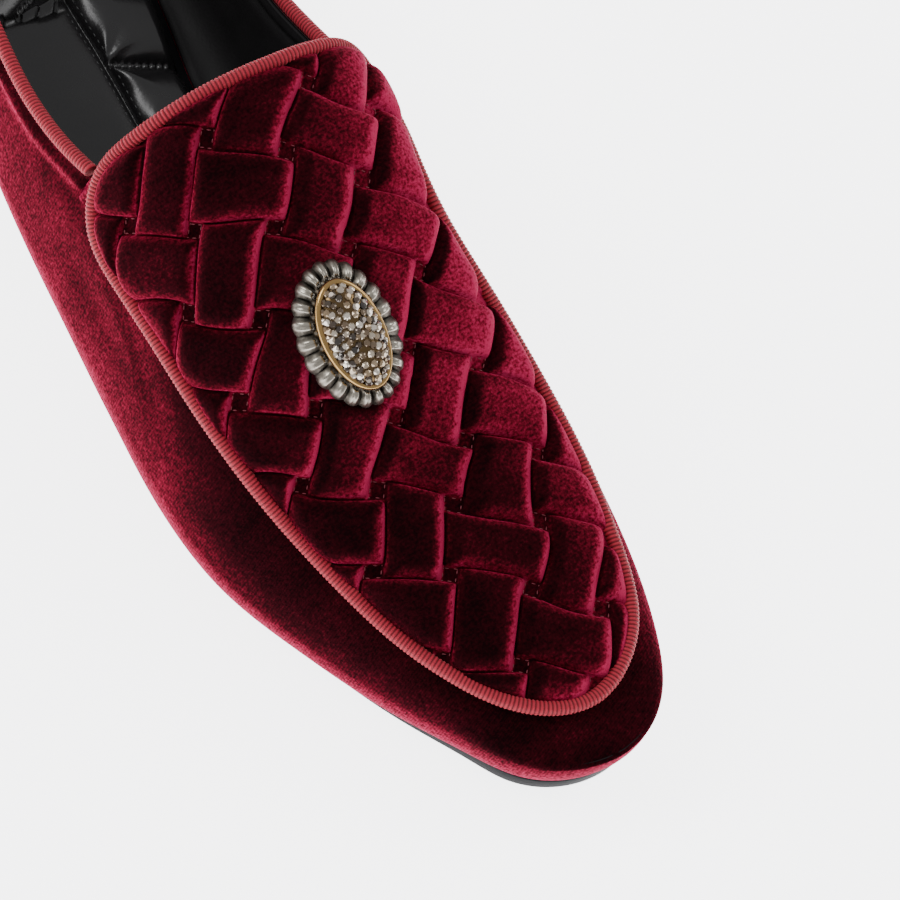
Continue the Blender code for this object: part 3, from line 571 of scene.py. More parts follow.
# The apron: velvet padded and stitched as a basket weave, cut to an outline and laid over the vamp.
# It is worked out flat, across from the ridge and along from the throat, and then wrapped over the last.
APRON_LENGTH = 0.1666
APRON_REACH = 0.056
APRON_SEAT = 0.0005
STRIP_PITCH = 0.0178
STRIP_WIDTH = 0.0137
WEAVE_TURN = math.radians(36.8)
WEAVE_ACROSS, WEAVE_ALONG = -0.0061, 0.1009
BACKING = 0.0012
PUFF = 0.0033
PIPING_DIAMETER = 0.0035
PANEL_ROWS, PANEL_TURNS = 260, 90   # measured places along the last, and from its ridge to its widest line
OUTLINE_POINTS, OVERLAP = 100, 8    # points of the apron's outline, and those repeated to close its curve

# along, reach outside, reach inside
APRON = np.array((
    (0.000, 0.770, 0.410), (0.006, 0.820, 0.468), (0.022, 0.892, 0.541), (0.050, 0.978, 0.598),
    (0.090, 1.000, 0.604), (0.170, 0.948, 0.520), (0.270, 0.886, 0.474), (0.370, 0.832, 0.523),
    (0.480, 0.768, 0.571), (0.600, 0.698, 0.582), (0.700, 0.646, 0.532), (0.790, 0.577, 0.468),
    (0.870, 0.475, 0.404), (0.930, 0.368, 0.320), (0.975, 0.236, 0.175), (1.000, 0.000, 0.000)))

panel_stations = np.linspace(THROAT - 0.1, 0.995, PANEL_ROWS)
panel_along = walked(last_surface(np.zeros(PANEL_ROWS), panel_stations))
panel_along -= np.interp(THROAT, panel_stations, panel_along)
panel_angles = np.linspace(0, math.pi / 2, PANEL_TURNS)
panel_across = {}
for side in (-1, 1):
    reach = np.sin(panel_angles) ** (2 / CROWN_ROUNDNESS)
    section = last_surface(side * reach[None, :] + 0 * panel_stations[:, None],
                           panel_stations[:, None] + 0 * reach[None, :])
    lengths = np.cumsum(np.linalg.norm(np.diff(section, axis=1), axis=2), 1)
    panel_across[side] = np.concatenate([np.zeros((PANEL_ROWS, 1)), lengths], 1)


def on_panel(across, along):
    """Points of the last at lengths measured over it, across from the ridge and along from the throat."""
    station = np.interp(along, panel_along, panel_stations)
    place = np.interp(station, panel_stations, np.arange(float(PANEL_ROWS)))
    row = np.minimum(place.astype(int), PANEL_ROWS - 2)
    part = (place - row)[:, None]
    points = np.empty((len(across), 3))
    for side in (-1, 1):
        mine = across < 0 if side < 0 else across >= 0
        lengths = panel_across[side]
        length = lengths[row[mine]] * (1 - part[mine]) + lengths[row[mine] + 1] * part[mine]
        reach = np.abs(across[mine])
        k = np.clip((length <= reach[:, None]).sum(1) - 1, 0, PANEL_TURNS - 2)
        low, high = (np.take_along_axis(length, k[:, None] + step, 1)[:, 0] for step in (0, 1))
        angle = panel_angles[k] + panel_angles[1] * np.clip((reach - low) / (high - low), 0, 1)
        found = last_surface(side * np.sin(angle) ** (2 / CROWN_ROUNDNESS), station[mine])
        found[:, 2] -= np.maximum(reach - length[:, -1], 0)
        points[mine] = found
    return points


def raised(across, along, height):
    """The same points lifted off the last, and the outward directions."""
    step = 0.0012
    across, along = np.asarray(across, float), np.asarray(along, float)
    sideways = on_panel(across + step, along) - on_panel(across - step, along)
    forwards = on_panel(across, along + step) - on_panel(across, along - step)
    outward = unit(np.cross(forwards, sideways))
    return on_panel(across, along) + outward * np.asarray(height)[..., None], outward


def apron_outline(count):
    """Middle of the piping laid flat, as evenly spaced points of a smooth closed line."""
    around = rounded(APRON[:, 0])
    outer, inner = (smooth_curve(around, APRON[:, side] * APRON_REACH) for side in (1, 2))
    angles = np.linspace(0, math.pi, OUTLINE_POINTS)
    along = (1 - np.cos(angles)) / 2 * APRON_LENGTH
    back = np.linspace(float(inner(0)), -float(outer(0)), 33)[1:-1]
    across = np.concatenate([-outer(angles), inner(angles)[-2::-1], back])
    along = np.concatenate([along, along[-2::-1], 0 * back])
    bow = np.clip(1 - (across / APRON_REACH) ** 2, 0, 1) * np.clip(1 - along / APRON_LENGTH, 0, 1) ** 3
    points = np.stack([across, along + THROAT_BOW * bow], -1)
    closed = np.vstack([points, points[:1]])
    length = walked(closed)
    even = np.linspace(0, length[-1], OUTLINE_POINTS + 1)[:-1]
    points = np.stack([np.interp(even, length, closed[:, k]) for k in range(2)], -1)
    for _ in range(2):
        points = (np.roll(points, 1, 0) + 2 * points + np.roll(points, -1, 0)) / 4
    padded = np.vstack([points[-OVERLAP:], points, points[:OVERLAP + 1]])
    places = np.arange(-OVERLAP, OUTLINE_POINTS + OVERLAP + 1).astype(float)
    at = np.linspace(0, OUTLINE_POINTS, count + 1)[:-1]
    return np.stack([smooth_curve(places, padded[:, k])(at) for k in range(2)], -1)


def outline_distance(across, along):
    """Distance to the outline, positive inside."""
    line = apron_outline(400)
    after = np.roll(line, -1, 0)
    best = np.full(len(across), 1.0)
    inside = np.zeros(len(across), bool)
    for (ax, ay), (bx, by) in zip(line, after):
        ex, ey = bx - ax, by - ay
        share = np.clip(((across - ax) * ex + (along - ay) * ey) / (ex * ex + ey * ey), 0, 1)
        best = np.minimum(best, np.hypot(across - ax - share * ex, along - ay - share * ey))
        if ay != by:
            crosses = (along < ay) != (along < by)
            inside ^= crosses & (across < ax + (along - ay) / ey * ex)
    return np.where(inside, best, -best)


def weave_marks(reach):
    """Lines of the mesh in one direction, close together along the edges of the strips."""
    half, pad = STRIP_WIDTH / 2, STRIP_PITCH / 2
    share = np.linspace(-1, 1, 29)
    strip = half * np.sign(share) * (1 - (1 - np.abs(share)) ** 1.25)
    between = np.linspace(half, 2 * pad - half, 9)[1:-1]
    marks = np.concatenate([strip, between])
    count = math.ceil(reach / STRIP_PITCH)
    return np.concatenate([strip_number * STRIP_PITCH + marks for strip_number in range(-count, count + 1)])


def strip_edges(p, q):
    """For places in the weave's own axes: distance in from the long edge and from the end of the strip
    on top, that strip's number, and whether there is a strip or a hole between strips."""
    i, j = np.round(p / STRIP_PITCH), np.round(q / STRIP_PITCH)
    u, v = p - i * STRIP_PITCH, q - j * STRIP_PITCH
    half = STRIP_WIDTH / 2
    even = (i + j) % 2 == 0
    in_p, in_q = np.abs(v) <= half + 1e-9, np.abs(u) <= half + 1e-9
    runs_p = in_p & (even | ~in_q)
    runs_q = in_q & (~even | ~in_p)
    middle_i = np.where(even, i, np.where(u > 0, i + 1, i - 1))
    middle_j = np.where(~even, j, np.where(v > 0, j + 1, j - 1))
    float_half = STRIP_PITCH - half
    side = np.where(runs_p, half - np.abs(v), np.where(runs_q, half - np.abs(u), 0))
    end = np.where(runs_p, float_half - np.abs(p - middle_i * STRIP_PITCH),
                   np.where(runs_q, float_half - np.abs(q - middle_j * STRIP_PITCH), 0))
    brick = np.where(runs_p, middle_i * 31 + j * 17, np.where(runs_q, i * 13 + middle_j * 41 + 7, -1))
    return side, end, brick, runs_p | runs_q


def puffed(p, q):
    """Height of the quilting above its backing."""
    side, end, brick, on_strip = strip_edges(p, q)
    lively = 0.5 + 0.5 * np.sin(brick * 12.9898)
    rise = round_shoulder(side / 0.0034) * round_shoulder(end / 0.0036)
    crown = 1 - ((STRIP_WIDTH / 2 - side) / (STRIP_WIDTH / 2)) ** 2
    height = PUFF * (0.84 + 0.16 * lively) * (0.93 * rise + 0.07 * rise * crown)
    pucker = np.sin((p + q) / 0.0019 + brick) * np.exp(-np.minimum(side, end) / 0.0014) * 0.00016
    pucker += np.sin(p / 0.0051 + brick) * np.sin(q / 0.0043 + 2 * brick) * 0.00012 * rise
    return np.where(on_strip, height + pucker + 0.0004, 0.0)


def weave_to_panel(p, q):
    """Panel place of a place in the weave's axes."""
    return (WEAVE_ACROSS + p * math.cos(WEAVE_TURN) - q * math.sin(WEAVE_TURN),
            WEAVE_ALONG + p * math.sin(WEAVE_TURN) + q * math.cos(WEAVE_TURN))


marks = weave_marks(0.145)
q_grid, p_grid = np.meshgrid(marks, marks, indexing="ij")
across, along = weave_to_panel(p_grid.ravel(), q_grid.ravel())
near = (np.abs(across) < 0.07) & (along > -0.008) & (along < 0.178)
edge_room = np.full(len(across), -1.0)
edge_room[near] = outline_distance(across[near], along[near])
keep = edge_room > 0.0006
faces = grid_faces(len(marks), len(marks))
faces = faces[keep[faces].all(1)]
used, compact = np.unique(faces, return_inverse=True)
faces = compact.reshape(-1, 4)
across, along, edge_room = across[used], along[used], edge_room[used]
p_used, q_used = p_grid.ravel()[used], q_grid.ravel()[used]


def quilt_points(p, q, across, along, edge_room, extra=0.0):
    """The quilting over the last, its strips a little uneven as they are in padded cloth."""
    sink = round_shoulder((edge_room - 0.0010) / 0.0050)
    height = APRON_SEAT + BACKING + puffed(p, q) * (0.25 + 0.75 * sink) - 0.0006 * (1 - sink) + extra
    loose = 0.00065 * sink
    across = across + loose * (np.sin(along / 0.0067 + 1.1) + np.sin(across / 0.0051 + along / 0.0093))
    along = along + loose * (np.sin(across / 0.0059 + 0.4) + np.sin(along / 0.0047 - across / 0.0088))
    return raised(across, along, height)


points, _ = quilt_points(p_used, q_used, across, along, edge_room)
quilt = mesh_piece("apron_quilt", points, faces[:, ::-1], np.stack([across, along], -1))
# Quilted velvet with painted sheen, and painted side light on the faces turned to the toe and the inner side.
quilt_velvet = velvet("quilt_velvet", (-167.0, 1149.0, 361.0), 0.20, (0.72, -0.98, -0.04), 0.44, 0.08)
dress(quilt, quilt_velvet, "quilted_velvet", "apron")


def stitches(name, centres, ahead, up, length, width):
    """Sewing stitches as small beads of thread, lying along a direction."""
    across = unit(np.cross(ahead, up))
    beads = [centres - ahead * length / 2]
    for place, size in ((-0.30, 0.8), (0.0, 1.0), (0.30, 0.8)):
        for turn in np.linspace(0, 2 * math.pi, 7)[:-1]:
            beads.append(centres + ahead * place * length
                         + (across * math.cos(turn) + up * math.sin(turn)) * size * width / 2)
    beads.append(centres + ahead * length / 2)
    shape = [(0, 1 + (k + 1) % 6, 1 + k) for k in range(6)]
    for ring in (1, 7):
        shape += [(ring + k, ring + (k + 1) % 6, ring + 6 + (k + 1) % 6) for k in range(6)]
        shape += [(ring + k, ring + 6 + (k + 1) % 6, ring + 6 + k) for k in range(6)]
    shape += [(13 + k, 13 + (k + 1) % 6, 19) for k in range(6)]
    faces = np.array(shape)[None] + (np.arange(len(centres)) * 20)[:, None, None]
    piece = mesh_piece(name, np.stack(beads, 1), faces.reshape(-1, 3))
    outwards(piece, 0.0000001)
    return piece


# The thread that quilts the apron, sunk in the grooves between the strips.
half, reach = STRIP_WIDTH / 2 + 0.0004, STRIP_PITCH - STRIP_WIDTH / 2
steps = np.arange(-reach + 0.0012, reach - 0.0011, 0.0021)
count = 9
marks_p, marks_q, turns = [], [], []
for i in range(-count, count + 1):
    for j in range(-count, count + 1):
        for edge_side in (-1, 1):
            along_strip, off_strip = steps, np.full(len(steps), edge_side * half)
            if (i + j) % 2:
                along_strip, off_strip = off_strip, along_strip
            marks_p.append(i * STRIP_PITCH + along_strip)
            marks_q.append(j * STRIP_PITCH + off_strip)
            turns.append(np.full(len(steps), (i + j) % 2))
stitch_p, stitch_q, turns = np.concatenate(marks_p), np.concatenate(marks_q), np.concatenate(turns)
side_across, side_along = weave_to_panel(stitch_p, stitch_q)
near = (np.abs(side_across) < 0.058) & (side_along > 0) & (side_along < 0.168)
stitch_p, stitch_q, turns, side_across, side_along = (
    values[near] for values in (stitch_p, stitch_q, turns, side_across, side_along))
room = outline_distance(side_across, side_along)
sewn = (room > 0.0035) & (puffed(stitch_p, stitch_q) < 0.0012)
stitch_p, stitch_q, turns, side_across, side_along, room = (
    values[sewn] for values in (stitch_p, stitch_q, turns, side_across, side_along, room))
centres, up = quilt_points(stitch_p, stitch_q, side_across, side_along, room, 0.0001)
step_p, step_q = np.where(turns == 0, 0.0004, 0.0), np.where(turns == 0, 0.0, 0.0004)
ahead_across, ahead_along = weave_to_panel(stitch_p + step_p, stitch_q + step_q)
flat = np.zeros(len(room))
ahead = unit(raised(ahead_across, ahead_along, flat)[0] - raised(side_across, side_along, flat)[0])
thread, tree, shader = new_material("quilting_thread", Base_Color=(0.17, 0.022, 0.034, 1), Roughness=0.6)
dress(stitches("apron_stitches", centres, ahead, up, 0.0011, 0.00028), thread, "quilted_velvet")

# Ribbed ribbon folded over a cord and stitched into the seam: one length round the apron,
# one along the collar.
RIB_PITCH = 0.00098
RIB_DEPTH = 0.00020
CORD_STOP = 0.0022        # where the collar's cord ends, from the middle of the apron's


def tube_piece(name, line, outward, radius, closed):
    """Ribbed tube along evenly spaced points: ribs are modelled, and its UV is length and way round."""
    ahead = unit((np.roll(line, -1, 0) - np.roll(line, 1, 0)) if closed else np.gradient(line, axis=0))
    up = unit(outward - (outward * ahead).sum(1, keepdims=True) * ahead)
    across = np.cross(ahead, up)
    length = walked(line)
    count = 16
    turn = np.linspace(0, 2 * math.pi, count + 1)[:-1]
    rib = radius - RIB_DEPTH * np.abs(np.cos(math.pi * length / RIB_PITCH)) ** 3
    ring = (up[:, None, :] * np.cos(turn)[None, :, None] + across[:, None, :] * np.sin(turn)[None, :, None])
    points = line[:, None, :] + ring * rib[:, None, None]
    rows = len(line)
    uv = np.stack([np.repeat(length[:, None], count, 1), np.repeat(turn[None, :] * radius, rows, 0)], -1)
    if closed:
        points, uv = np.concatenate([points, points[:1]]), np.concatenate([uv, uv[-1:] + (0.0002, 0)])
        rows += 1
    faces = grid_faces(rows, count, wrap=True).tolist()
    if not closed:
        faces += [list(range(count))[::-1], list(range((rows - 1) * count, rows * count))]
    piece = mesh_piece(name, points, faces, uv)
    outwards(piece)
    return piece


def evenly(points, spacing, closed, *others):
    """Points and what goes with them, resampled at an even spacing along the line."""
    length = walked(np.vstack([points, points[:1]]) if closed else points)
    count = int(round(length[-1] / spacing))
    at = np.linspace(0, length[-1], count + 1)
    if closed:
        at = at[:-1]
    result = []
    for values in (points, *others):
        values = np.vstack([values, values[:1]]) if closed else values
        result.append(np.stack([np.interp(at, length, values[:, k]) for k in range(values.shape[1])], -1))
    return result


material, tree, shader = new_material("ribbed_ribbon", Sheen_Weight=0.35, Sheen_Roughness=0.4,
                                      Sheen_Tint=(0.9, 0.3, 0.3, 1), Specular_IOR_Level=0.2)
cut = node(tree, "UVMap", uv_map="cut")
run = put(tree, node(tree, "SeparateXYZ"), Vector=cut.outputs[0])
rib = maths(tree, "COSINE", maths(tree, "MULTIPLY", run.outputs[0], math.pi / RIB_PITCH))
valley = maths(tree, "POWER", maths(tree, "ABSOLUTE", rib), 3.0)
fibre = maths(tree, "SUBTRACT", noise(tree, cut.outputs[0], 3500.0, 2.0), 0.5)
# Painted shade: the colour darkens in the valleys between the ribs.
tone = mix_colour(tree, valley, (0.33, 0.026, 0.048), (0.085, 0.004, 0.010))
tone = mix_colour(tree, maths(tree, "ADD", 0.5, fibre), tone, (0.50, 0.10, 0.13), "SOFT_LIGHT")
height = maths(tree, "SUBTRACT", maths(tree, "MULTIPLY", fibre, 0.5), maths(tree, "MULTIPLY", valley, 0.6))
put(tree, shader, Base_Color=tone, Normal=bumped(tree, height, 0.7, 0.00015), Roughness=0.62)
ribbon = material

seat = PIPING_DIAMETER / 2 + SEAM
outline = apron_outline(1600)
line, outward = raised(outline[:, 0], outline[:, 1], np.full(len(outline), seat))
line, outward = evenly(line, RIB_PITCH / 5, True, outward)
dress(tube_piece("apron_cord", line, outward, PIPING_DIAMETER / 2, True), ribbon, "ribbon", "apron_piping")
apron_line = line

stations = crowded(0, THROAT - 0.001, 400)
edge, above = [], []
for side, order in ((-1, slice(None, None, -1)), (1, slice(1, None))):
    angle = collar_angle(stations, side)
    edge.append(last_surface(*last_fan(stations, side, angle))[order])
    above.append(last_surface(*last_fan(stations, side, angle + 0.02))[order])
edge, above = np.concatenate(edge), np.concatenate(above)
up = unit(above - edge)
away = unit(np.cross(np.gradient(edge, axis=0), up))
line = edge + up * (PIPING_DIAMETER / 2 - 2 * SEAM) - away * 0.0008
apart = np.array([np.linalg.norm(apron_line - place, axis=1).min() for place in line])
clear = apart > CORD_STOP
line, up, apart = line[clear], up[clear], apart[clear]
line = line - up * (0.0016 * np.clip(1 - (apart - CORD_STOP) / 0.0024, 0, 1) ** 1.5)[:, None]
line, up = evenly(line, RIB_PITCH / 5, False, up)
dress(tube_piece("collar_cord", line, up, PIPING_DIAMETER / 2, False), ribbon, "ribbon", "collar_piping")

# The sole: a thin cemented outsole with a smooth dyed edge, and a stacked heel with a rubber top piece.
SOLE_EDGE = 0.0017
SOLE_ROUND = 0.0009
HEEL_SHARE = 0.235
HEEL_TAPER = 0.0015
HEEL_INSET = 0.0007       # heel in from the sole's edge


def plate_piece(name, stations, levels):
    """Flat piece with the last's outline: each level is an inset from the sole's edge and a height."""
    loop_station = np.concatenate([stations, [s for s in stations[::-1] if 0 < s < 1]])
    loop_side = np.concatenate([-np.ones(len(stations)), np.ones(len(loop_station) - len(stations))])
    plans, outs, tucks = [], [], []
    for side in (-1, 1):
        mine = loop_side == side
        plan, outward = last_outline(loop_station[mine], side)
        plans.append(plan)
        outs.append(outward)
        tucks.append(last_tuck[side](loop_station[mine]) - SOLE_EDGE)
    plan, outward, tuck = np.concatenate(plans), np.concatenate(outs), np.concatenate(tucks)
    rings = []
    for inset, height in levels:
        level = height(loop_station) + 0 * loop_station
        rings.append(np.column_stack([plan - outward * (tuck + inset)[:, None], level]))
    count = len(loop_station)
    faces = grid_faces(len(levels), count, wrap=True).tolist()
    partner = {s: [k for k in range(count) if loop_station[k] == s] for s in stations}
    top = (len(levels) - 1) * count
    for first, second in zip(stations, stations[1:]):
        strip = partner[first] + partner[second][::-1]
        faces.append(strip)
        faces.append([top + k for k in reversed(strip)])
    piece = mesh_piece(name, np.concatenate(rings), faces)
    outwards(piece)
    piece.data.set_sharp_from_angle(angle=math.radians(40))
    return piece


def sole_bottom(station):
    """Height of the outsole's tread."""
    return sole_top(station) - SOLE_THICKNESS


whole = crowded(0, 1, 200)
heel = crowded(0, HEEL_SHARE, 60)
arc = [(SOLE_ROUND * (1 - math.sin(turn)), SOLE_ROUND * (1 - math.cos(turn)))
       for turn in np.linspace(0, math.pi / 2, 5)]
levels = [(inset, lambda s, d=drop: sole_bottom(s) + d) for inset, drop in arc]
levels += [(inset, lambda s, d=drop: sole_top(s) - d) for inset, drop in arc[::-1]]
outsole = plate_piece("outsole_leather", whole, levels)
sole_dye = leather("sole_dye", (0.0045, 0.0045, 0.005), (0.010, 0.010, 0.0115), 1100.0, 0.25, 0.15, 0.05)
dress(outsole, sole_dye, "sole_leather", "outsole")

levels = [(HEEL_INSET + HEEL_TAPER, lambda s: TOP_PIECE_HEIGHT + SEAM),
          (HEEL_INSET, lambda s: sole_bottom(s) - SEAM)]
material, tree, shader = new_material("stacked_leather", Specular_IOR_Level=0.10)
place = object_place(tree)
skin = use_group(tree, leather_grain, Place=place, Size=1000.0, Colour=(0.006, 0.0055, 0.0055, 1),
                 Worn=(0.014, 0.0125, 0.012, 1))
split = put(tree, node(tree, "SeparateXYZ"), Vector=place)
layer = maths(tree, "PINGPONG", split.outputs[2], 0.0013)
seam = maths(tree, "LESS_THAN", layer, 0.00012)
height = maths(tree, "SUBTRACT", skin.outputs["Height"], maths(tree, "MULTIPLY", seam, 1.5))
put(tree, shader, Base_Color=mix_colour(tree, seam, skin.outputs["Colour"], (0.004, 0.004, 0.004)),
    Roughness=maths(tree, "ADD", skin.outputs["Roughness"], 0.15), Normal=bumped(tree, height, 0.4, 0.0002))
dress(plate_piece("heel_stack", heel, levels), material, "stacked_heel", "heel_block")

levels = [(inset + HEEL_TAPER, lambda s, h=level: h) for inset, level in (
    (0.0014, 0.0), (0.0009, 0.0002), (HEEL_INSET, 0.0007), (HEEL_INSET, TOP_PIECE_HEIGHT))]
material, tree, shader = new_material("top_piece_rubber", Specular_IOR_Level=0.08)
speck = noise(tree, object_place(tree), 900.0, 4.0)
put(tree, shader, Normal=bumped(tree, speck, 0.4, 0.0002),
    Base_Color=ramp(tree, speck, ((0.3, (0.007, 0.007, 0.0075)), (0.8, (0.016, 0.016, 0.017)))),
    Roughness=maths(tree, "ADD", 0.55, maths(tree, "MULTIPLY", speck, 0.3)))
dress(plate_piece("heel_rubber", heel, levels), material, "heel_rubber", "heel_top_piece")

# The sock: soft black leather over foam, sewn down along crossing lines that pinch it into puffs.
SOCK_THICKNESS = 0.0042
SOCK_SUNK = 0.0006        # how far its seams lie below that thickness
WALL = 0.002
stations = crowded(0, 1, 520)
share = np.linspace(-1, 1, 181)
plan = {}
for side in (-1, 1):
    place, outward = last_outline(stations, side)
    plan[side] = place - outward * (last_tuck[side](stations) + WALL + 2 * SEAM)[:, None]
cross = (share[None, :, None] + 1) / 2
flat = plan[-1][:, None, :] * (1 - cross) + plan[1][:, None, :] * cross
width = np.linalg.norm(plan[1] - plan[-1], axis=1)[:, None]
rim = np.minimum((1 - np.abs(share))[None, :] * width / 2, 1.0)
end_room = np.minimum(stations, 1 - stations)[:, None] * LAST_LENGTH
rim = np.minimum(rim, end_room)
x, y = flat[..., 0], flat[..., 1]


SOCK_SEAM = -0.0016       # the seam down its middle; the smooth panel lies outside it
PANEL_END = 0.0830        # where that panel ends towards the heel
QUILT_CROSS, QUILT_PITCH, QUILT_SLOPE = 0.0646, 0.0266, 0.455


def sock_seams(x, y):
    """Distance to the nearest seam of the sock, and where its smooth panel is."""
    slant = (y - QUILT_CROSS) + QUILT_SLOPE * np.abs(x - SOCK_SEAM)
    band = np.abs((slant / QUILT_PITCH + 0.5) % 1 - 0.5) * QUILT_PITCH * 0.91
    middle = np.abs(x - SOCK_SEAM)
    end = np.abs(y - PANEL_END + 0.12 * (x - SOCK_SEAM))
    panel = (x < SOCK_SEAM) & (y - PANEL_END + 0.12 * (x - SOCK_SEAM) < 0)
    return np.where(panel, np.minimum(middle, end), np.minimum(band, middle)), panel


def sock_relief(x, y):
    """Height of the sock's padding over its base."""
    near, panel = sock_seams(x, y)
    deep = np.where(panel, 0.0012, 0.0052)
    reach = np.where(panel, 0.0060, 0.0105)
    puff = deep * round_shoulder(near / reach)
    crossing = np.abs(((y - QUILT_CROSS) / QUILT_PITCH + 0.5) % 1 - 0.5) * QUILT_PITCH
    away = np.hypot(x - SOCK_SEAM, crossing)
    pinch = 0.00045 * np.sin(7 * np.arctan2(crossing, x - SOCK_SEAM)) * np.exp(-((away - 0.006) / 0.005) ** 2)
    return puff + np.where(panel, 0, pinch)


relief = sock_relief(x, y)
edge_fall = round_shoulder(rim / 0.004)
height = sole_top(stations)[:, None] + SEAM + (SOCK_THICKNESS - SOCK_SUNK) * edge_fall + relief * edge_fall
points = np.stack([x, y, height], -1)
sock = mesh_piece("padded_sock", points, grid_faces(len(stations), len(share)), np.stack([x, y], -1))
outwards(sock, 0.000001)
sock_leather = leather("sock_leather_finish", (0.006, 0.0056, 0.006), (0.012, 0.0115, 0.012),
                       1600.0, 0.12, -0.10, 0.36)
dress(sock, sock_leather, "sock_leather", "insole")

run_y = np.arange(0.020, 0.125, 0.0021)
bases = sole_top(0.5 - run_y / LAST_LENGTH) + SEAM + SOCK_THICKNESS - SOCK_SUNK
rows = [np.stack([np.full(len(run_y), row_x), run_y, bases + sock_relief(row_x, run_y)], -1)
        for row_x in (SOCK_SEAM - 0.0012, SOCK_SEAM + 0.0012)]
centres = np.concatenate(rows)
ahead = np.tile(unit(np.gradient(rows[0], axis=0)), (2, 1))
up = np.tile((0.0, 0.0, 1.0), (len(centres), 1))
thread, tree, shader = new_material("sock_thread", Base_Color=(0.02, 0.02, 0.021, 1), Roughness=0.45)
dress(stitches("sock_stitches", centres, ahead, up, 0.0013, 0.0004), thread, "sock_leather")

# The brooch: a cast dish with a fluted rim, a brass collet and a dome set with round stones.
BROOCH_LENGTH, BROOCH_WIDTH = 0.0350, 0.0226
BROOCH_ALONG, BROOCH_ACROSS = 0.0660, -0.0098
BROOCH_SEAT = APRON_SEAT + 0.0016 + 0.0021 + SEAM
RIM_HEIGHT = 0.0034
FLUTES = 22
FLUTE_DEPTH = 0.0007
DISH_SHARE = 0.64
COLLET_WIDTH, COLLET_HEIGHT = 0.0016, 0.0016
DOME_HEIGHT = 0.0036
long, wide = BROOCH_LENGTH / 2, BROOCH_WIDTH / 2


def brooch_place(x, y, z):
    """Point of the brooch, bent with the vamp."""
    shape = np.broadcast(x, y, z).shape
    x, y, z = (np.broadcast_to(value, shape).ravel() for value in (x, y, z))
    points, outward = raised(BROOCH_ACROSS + x, BROOCH_ALONG + y, BROOCH_SEAT + z)
    return points.reshape(*shape, 3), outward.reshape(*shape, 3)


def oval_piece(name, rings, columns, closed=True):
    """Oval cast form. Each ring is a half length and width, a height, and shares of scallop and petals."""
    angle = np.linspace(0, 2 * math.pi, columns + 1)[:-1]
    petal = np.abs(np.cos(FLUTES * angle / 2))
    barb = 0.5 + 0.5 * np.cos(FLUTES * angle * 3)
    grid, worn = [], []
    for half_length, half_width, height, scallop, petals in rings:
        cut = FLUTE_DEPTH * scallop * (1 - petal)
        rise = height * (1 - 0.42 * petals * (1 - petal ** 0.7)) - 0.00022 * petals * barb
        x, y = (half_width - cut) * np.sin(angle), (half_length - cut) * np.cos(angle)
        grid.append(brooch_place(x, y, rise)[0])
        bare = np.clip((petal ** 0.8 - 0.35 * barb) * petals + (1 - petals), 0, 1)
        worn.append(bare * min(height / RIM_HEIGHT, 1))
    faces = grid_faces(len(rings), columns, wrap=True).tolist()
    top = (len(rings) - 1) * columns
    if closed:
        faces += [list(range(columns))[::-1], list(range(top, top + columns))]
    piece = mesh_piece(name, grid, faces, worn=worn)
    outwards(piece)
    piece.data.set_sharp_from_angle(angle=math.radians(50))
    return piece


# in from the edge, share of the rim's height, scallop, petals
RIM_SECTION = (
    (0.0016, 0.00, 0.6, 0.0), (0.0004, 0.08, 1.0, 0.2), (0.0000, 0.22, 1.0, 0.5), (0.0002, 0.42, 1.0, 0.8),
    (0.0008, 0.66, 0.8, 1.0), (0.0015, 0.84, 0.6, 1.0), (0.0022, 0.95, 0.4, 1.0), (0.0029, 1.00, 0.2, 1.0),
    (0.0035, 0.97, 0.1, 1.0), (0.0040, 0.86, 0.0, 0.8), (0.0043, 0.72, 0.0, 0.4), (0.0046, 0.66, 0.0, 0.0))
rim_rings = [(long * share, wide * share, 0, 0, 0) for share in (0.05, 0.5, 0.85)]
for inset, rise, scallop, petals in RIM_SECTION:
    rim_rings.append((long - inset, wide - inset, RIM_HEIGHT * rise, scallop, petals))
for length, width in ((0.4, 0.3), (0.04, 0.03)):
    rim_rings.append((long * length, wide * width, RIM_HEIGHT * 0.66, 0, 0))
rim_piece = oval_piece("brooch_fluted_rim", rim_rings, FLUTES * 18)

group, given, result = new_group(
    "tarnish",
    (("Place", "Vector", None), ("Bright", "Color", None), ("Dark", "Color", None), ("Worn", "Float", 0.5)),
    (("Colour", "Color"), ("Roughness", "Float"), ("Height", "Float")))
blotch = noise(group, given.outputs["Place"], 420.0, 6.0, Roughness=0.65)
uneven = maths(group, "MULTIPLY", maths(group, "SUBTRACT", blotch, 0.5), 0.9)
cover = maths(group, "SUBTRACT", 1.0, maths(group, "ADD", given.outputs["Worn"], uneven))
cover = maths(group, "MAXIMUM", maths(group, "MINIMUM", cover, 1.0), 0.0)
put(group, result, Colour=mix_colour(group, cover, given.outputs["Bright"], given.outputs["Dark"]),
    Roughness=maths(group, "ADD", 0.18, maths(group, "MULTIPLY", cover, 0.35)), Height=blotch)
tarnish = group


def old_metal(name, bright, dark):
    """Cast metal, dark in its hollows and bare on its high places."""
    material, tree, shader = new_material(name, Metallic=1.0)
    high = node(tree, "Attribute", attribute_name="worn")
    skin = use_group(tree, tarnish, Place=object_place(tree), Bright=(*bright, 1), Dark=(*dark, 1),
                     Worn=high.outputs["Fac"])
    put(tree, shader, Base_Color=skin.outputs["Colour"], Roughness=skin.outputs["Roughness"],
        Normal=bumped(tree, skin.outputs["Height"], 0.3, 0.0001))
    return material


old_silver = old_metal("old_silver", (0.36, 0.33, 0.28), (0.018, 0.015, 0.012))
old_brass = old_metal("old_brass", (0.30, 0.19, 0.075), (0.030, 0.018, 0.008))
dress(rim_piece, old_silver, "antique_silver", "brooch_rim")

